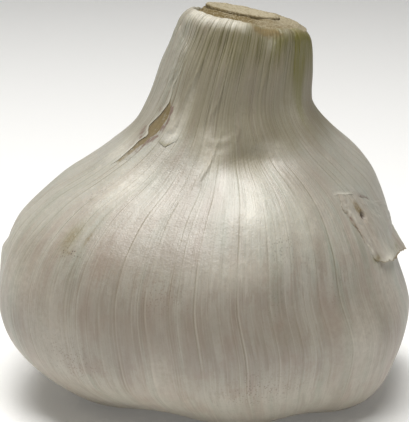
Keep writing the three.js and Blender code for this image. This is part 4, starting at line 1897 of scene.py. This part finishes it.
@dataclass
class CutEnd:
    """The cut end of the neck: the inner leaf sheaths round the stump of the flower stalk.

    Heights are over the neck's sloping cut, but for the stalk's top, which is over the floor.
    """

    form: BulbForm
    columns: int = 240
    sheath_base: float = -4.15
    sheath_radius: float = 12.05
    sheath_rings: int = 26
    layer_width: float = 0.95
    full_side: float = 88.0
    stalk_offset: tuple[float, float] = (-1.2, 1.0)
    stalk_radii: tuple[float, float] = (8.0, 7.0)
    stalk_gap: float = 0.3
    stalk_foot: float = -4.0
    stalk_top: float = 90.0
    stalk_slopes: tuple[float, float] = (0.195, 0.03)
    stalk_side_rings: int = 10
    stalk_flare: float = 0.15
    stalk_rounding: float = 0.35
    stalk_insets: tuple[float, ...] = (0.15, 0.45, 0.8, 1.3, 1.9, 2.6, 3.4, 4.2, 5.0, 5.8)

    def _stalk_outline(self, azimuth: Array, inset: Array | float) -> tuple[Array, Array]:
        """x and y round the stalk, `inset` millimetres in from its smooth outline.

        Args:
            azimuth: Round the stalk, in radians.
            inset: How far in.

        Returns:
            x and y.
        """
        x = self.form.rim[2] + self.stalk_offset[0] + (self.stalk_radii[0] - inset) * np.sin(azimuth)
        y = self.stalk_offset[1] - (self.stalk_radii[1] - inset) * np.cos(azimuth)
        return x, y

    def _stalk_top(self, x: Array, y: Array) -> Array:
        """Height of the stalk's sloping top over the floor."""
        left = self.form.rim[2] + self.stalk_offset[0] - self.stalk_radii[0]
        return self.stalk_top - self.stalk_slopes[0] * (x - left) - self.stalk_slopes[1] * y

    def sheath(self) -> None:
        """Makes the sheaths' cut edges: wavy rings of layers, sunk on the left and full on the right."""
        azimuth, degrees = once_round(self.columns)
        full = facing(degrees, self.full_side, 62.0)
        inner_x, inner_y = self._stalk_outline(azimuth, -self.stalk_gap)
        outer = self.sheath_radius + facing(degrees, self.full_side, 45.0)
        outer_x, outer_y = self.form.rim[2] + outer * np.sin(azimuth), -outer * np.cos(azimuth)
        width = np.hypot(outer_x - inner_x, outer_y - inner_y)
        level = full - 0.75 + 0.25 * (1 - 0.5 * full) * Waves(81, 18)(degrees / 20)
        rings, depths = [], []
        for share in np.linspace(0, 1, self.sheath_rings):
            x, y = inner_x + share * (outer_x - inner_x), inner_y + share * (outer_y - inner_y)
            layer = share * width / self.layer_width + 0.5 * Waves(82, 12)(degrees / 30, share * 3)
            tall = 0.55 + 0.45 * Waves(83, 18)(degrees / 20, np.floor(layer) * 1.7)
            ridge = tall * np.abs(np.sin(math.pi * layer)) ** 0.7
            rough = (0.1 - 0.06 * full) * Waves(84, 120)(degrees / 3, share * 14)
            slope = 1.45 * fall(share, 0.0, 0.8) * (1 - full) + 0.3 * full * fall(share, 0.0, 0.7)
            slope += 0.8 * facing(degrees, 130.0, 40.0) - full * rise(share, 0.6, 1.0)
            rings.append(self.form.cut(x, y, level + (0.4 - 0.2 * full) * ridge + rough + slope))
            depths.append(np.clip(1.0 - 1.1 * ridge, 0, 1) * (0.75 - 0.55 * full) + 0.35 * (1 - full))
        for x, y in ((outer_x, outer_y), (inner_x, inner_y)):
            rings.append(self.form.cut(x, y, self.sheath_base))
            depths.append(np.ones(self.columns))
        surface = hoop_surface(np.array(rings)[::-1])
        surface.marks["deep"] = np.clip(np.array(depths)[::-1].ravel(), 0, 1)
        settle(surface, "inner_sheath", "inner_sheath", CutFibre("cut_leaf"))

    def stalk(self) -> None:
        """Makes the stump: a fibrous oval whose cut top slopes down to the right."""
        azimuth, degrees = once_round(self.columns)
        fluting = 0.08 * Waves(91, 60)(degrees / 6) + 0.3 * Waves(92, 12)(degrees / 30)
        rings, depths = [], []
        for share in np.linspace(0, 1, self.stalk_side_rings):
            x, y = self._stalk_outline(azimuth, fluting - self.stalk_flare * share)
            foot = self.form.cut(x, y, self.stalk_foot)[:, 2]
            height = foot + share * (self._stalk_top(x, y) - self.stalk_rounding - foot)
            rings.append(np.stack([x, y, height], -1))
            depths.append(np.full(self.columns, 1.0 - 0.3 * share))
        for inset in self.stalk_insets:
            x, y = self._stalk_outline(azimuth, fluting * (1 - inset / 7) + inset)
            pits = 0.1 * Waves(93, 48)(degrees / 7.5, inset * 1.3)
            domed = 0.16 * hump(inset - 0.9, 0.6) - 0.12 - 0.02 * inset**2
            rings.append(np.stack([x, y, self._stalk_top(x, y) + domed + pits], -1))
            depths.append(np.clip(0.5 * hump(inset, 0.3) - 2.4 * pits, 0, 1))
        surface = stacked_surface(np.array(rings))
        surface.marks["deep"] = with_ends(np.array(depths).ravel())
        finish = CutFibre("stalk", pale=from_screen(171, 161, 136))
        settle(surface, "stem_core", "stem_core", finish)


@dataclass
class RootPlate:
    """The corky base with the stubs of its trimmed roots, hidden under the bulb.

    Each ring of roots is how many there are, its radius and their length.
    """

    form: BulbForm
    radius: float = 10.0
    bottom: float = 2.6
    top: float = 5.5
    dome: float = 0.9
    columns: int = 120
    underside_rings: int = 18
    roughness: float = 0.14
    roundness: float = 0.12
    rings_of_roots: tuple[tuple[int, float, float], ...] = ((5, 2.8, 1.5), (10, 5.6, 1.7), (15, 8.3, 1.6))
    root_radius: float = 0.62
    root_columns: int = 12
    root_profile: Path = ((0, 1.15), (0.3, 0.95), (0.6, 0.85), (0.85, 0.75), (0.97, 0.5), (1.0, 0.2))
    root_burial: float = 0.5
    root_lean: float = 0.35
    root_clearance: float = 0.9

    def _underside(self, radius: Array | float) -> Array | float:
        """Height of the domed underside at a radius."""
        return self.bottom + self.dome * (radius / self.radius) ** 2

    def disc(self) -> Surface:
        """The corky disc, domed downwards and uneven.

        Returns:
            The closed disc.
        """
        azimuth, degrees = once_round(self.columns)
        wall = [
            (self.radius / 2, self.top), (self.radius - 0.2, self.top), (self.radius, self.top - 0.5),
            (self.radius, self.bottom + 1.3), (self.radius - 0.25, self.bottom + 0.95),
        ]
        inward = np.linspace(self.radius - 0.8, 0.6, self.underside_rings)
        rings = []
        for i, (radius, height) in enumerate(wall + [(r, self._underside(r)) for r in inward]):
            rough = self.roughness * Waves(101, 60)(degrees / 6, i * 0.9) * (i >= len(wall) - 1)
            out = radius + self.roundness * Waves(102, 30)(degrees / 12) * (0 < i <= len(wall))
            x = self.form.stations[0][2] - out * np.sin(azimuth)
            rings.append(np.stack([x, -out * np.cos(azimuth), height + rough], -1))
        return stacked_surface(np.array(rings))

    def stub(self, azimuth: float, radius: float, length: float, seed: int) -> Surface:
        """One root stub: a short tapering tube that bends a little, with a rounded end.

        Args:
            azimuth: Where it grows, in radians.
            radius: How far from the plate's middle.
            length: How far it stands out.
            seed: Picks its lean.

        Returns:
            The closed tube.
        """
        lean = np.random.default_rng(seed).uniform(-self.root_lean, self.root_lean, 2)
        turn, _ = once_round(self.root_columns)
        x, y = self.form.stations[0][2] + radius * math.sin(azimuth), -radius * math.cos(azimuth)
        start = np.array([x, y, self._underside(radius) + self.root_burial])
        rings = []
        for share, width in self.root_profile:
            bend = lean * share**2
            centre = start + (bend[0], bend[1], -(length + self.root_burial) * share)
            out = self.root_radius * width * (1 + 0.12 * np.sin(3 * turn + seed))
            height = np.full_like(turn, max(centre[2], self.root_clearance))
            x, y = centre[0] - out * np.sin(turn), centre[1] - out * np.cos(turn)
            rings.append(np.stack([x, y, height], -1))
        return stacked_surface(np.array(rings))

    def build(self) -> None:
        """Makes and dresses the root plate."""
        surfaces = [self.disc()]
        for count, radius, length in self.rings_of_roots:
            for i in range(count):
                azimuth = 2 * math.pi * (i + 0.21 * math.sin(7 * i + radius)) / count
                surfaces.append(self.stub(azimuth, radius, length, 200 + int(radius * 10) + i))
        plate = joined(surfaces)
        plate.marks["deep"] = np.clip((4.3 - plate.points[:, 2]) / 3, 0, 1)
        finish = CutFibre("root", pale=from_screen(186, 164, 128), deep=from_screen(128, 100, 66))
        settle(plate, "root_plate", "root_plate", finish)


@dataclass
class StudioStage:
    """A pale floor that sweeps up behind, a wide soft light overhead, the room's own light, and a camera.

    The camera, the lamp and what they face are in metres, the floor in millimetres.
    """

    distance: float = 0.400
    elevation: float = 15.0
    lens: float = 148.4
    sensor: float = 36.0
    nearest: float = 0.01
    aim: Point = (-0.0001, 0.0, 0.0420)
    lamp_place: Point = (-0.08, -0.08, 0.80)
    lamp_aim: Point = (0.0, 0.0, 0.045)
    lamp_size: tuple[float, float] = (0.72, 0.40)
    lamp_power: float = 8.9
    room_light: float = 0.05
    tint: Colour = (1.0, 0.99, 0.97)
    floor_grid: tuple[int, int] = (40, 12)
    floor_half_width: float = 1500.0
    floor_front: float = -1200.0
    floor_length: float = 2200.0
    sweep_radius: float = 500.0
    wall_height: float = 1500.0

    def floor(self) -> None:
        """A sheet that runs level for half its run, bends up on an arc and goes on straight up."""
        rows, columns = self.floor_grid
        run = np.linspace(0, 1, rows)[:, None]
        bend = np.clip((run - 0.5) / 0.3, 0, 1) * (math.pi / 2)
        level = self.floor_front + self.floor_length * np.minimum(run / 0.5, 1)
        back = level + self.sweep_radius * np.sin(bend)
        up = self.sweep_radius * (1 - np.cos(bend)) + self.wall_height * np.clip((run - 0.8) / 0.2, 0, 1)
        side = np.linspace(-self.floor_half_width, self.floor_half_width, columns)
        points = np.stack(np.broadcast_arrays(side, back, up), -1)
        sheet = Surface(points.reshape(-1, 3), grid_faces(rows, columns, False)).make("floor")
        sheet.data.materials.append(StudioFloor().material())

    def lights(self) -> None:
        """The overhead softbox and the room's own light."""
        light = bpy.data.lights.new("overhead", "AREA")
        light.shape = "RECTANGLE"
        light.size, light.size_y = self.lamp_size
        light.energy = self.lamp_power
        light.color = self.tint
        lamp = bpy.data.objects.new("overhead", light)
        lamp.location = self.lamp_place
        beam = Vector(self.lamp_aim) - Vector(self.lamp_place)
        lamp.rotation_euler = beam.to_track_quat("-Z", "Y").to_euler()
        bpy.context.scene.collection.objects.link(lamp)
        world = bpy.data.worlds.new("room")
        world.use_nodes = True
        room = world.node_tree.nodes["Background"]
        room.inputs["Color"].default_value = (*self.tint, 1.0)
        room.inputs["Strength"].default_value = self.room_light
        bpy.context.scene.world = world

    def camera(self) -> None:
        """A long lens, a little above the bulb, in front of it."""
        tilt = math.radians(self.elevation)
        back = Vector((0, -math.cos(tilt), math.sin(tilt)))
        camera = bpy.data.objects.new("camera", bpy.data.cameras.new("camera"))
        camera.data.lens = self.lens
        camera.data.sensor_width = self.sensor
        camera.data.clip_start = self.nearest
        camera.location = Vector(self.aim) + back * self.distance
        camera.rotation_euler = (-back).to_track_quat("-Z", "Y").to_euler()
        bpy.context.scene.collection.objects.link(camera)
        bpy.context.scene.camera = camera

    def build(self) -> None:
        """Sets the stage."""
        self.camera()
        self.floor()
        self.lights()
        bpy.context.scene.view_settings.view_transform = "Standard"
        log.info("stage set")


def main() -> None:
    """Builds the bulb piece by piece."""
    logging.basicConfig(level=logging.INFO, format="%(name)s: %(message)s")
    StudioStage().build()
    form = BulbForm()
    relief = SkinRelief(form)
    Bulb(relief).build()
    loose = LooseSkins(relief)
    loose.wrapper()
    loose.flap()
    cut_end = CutEnd(form)
    cut_end.sheath()
    cut_end.stalk()
    RootPlate(form).build()


if __name__ == "__main__":
    main()
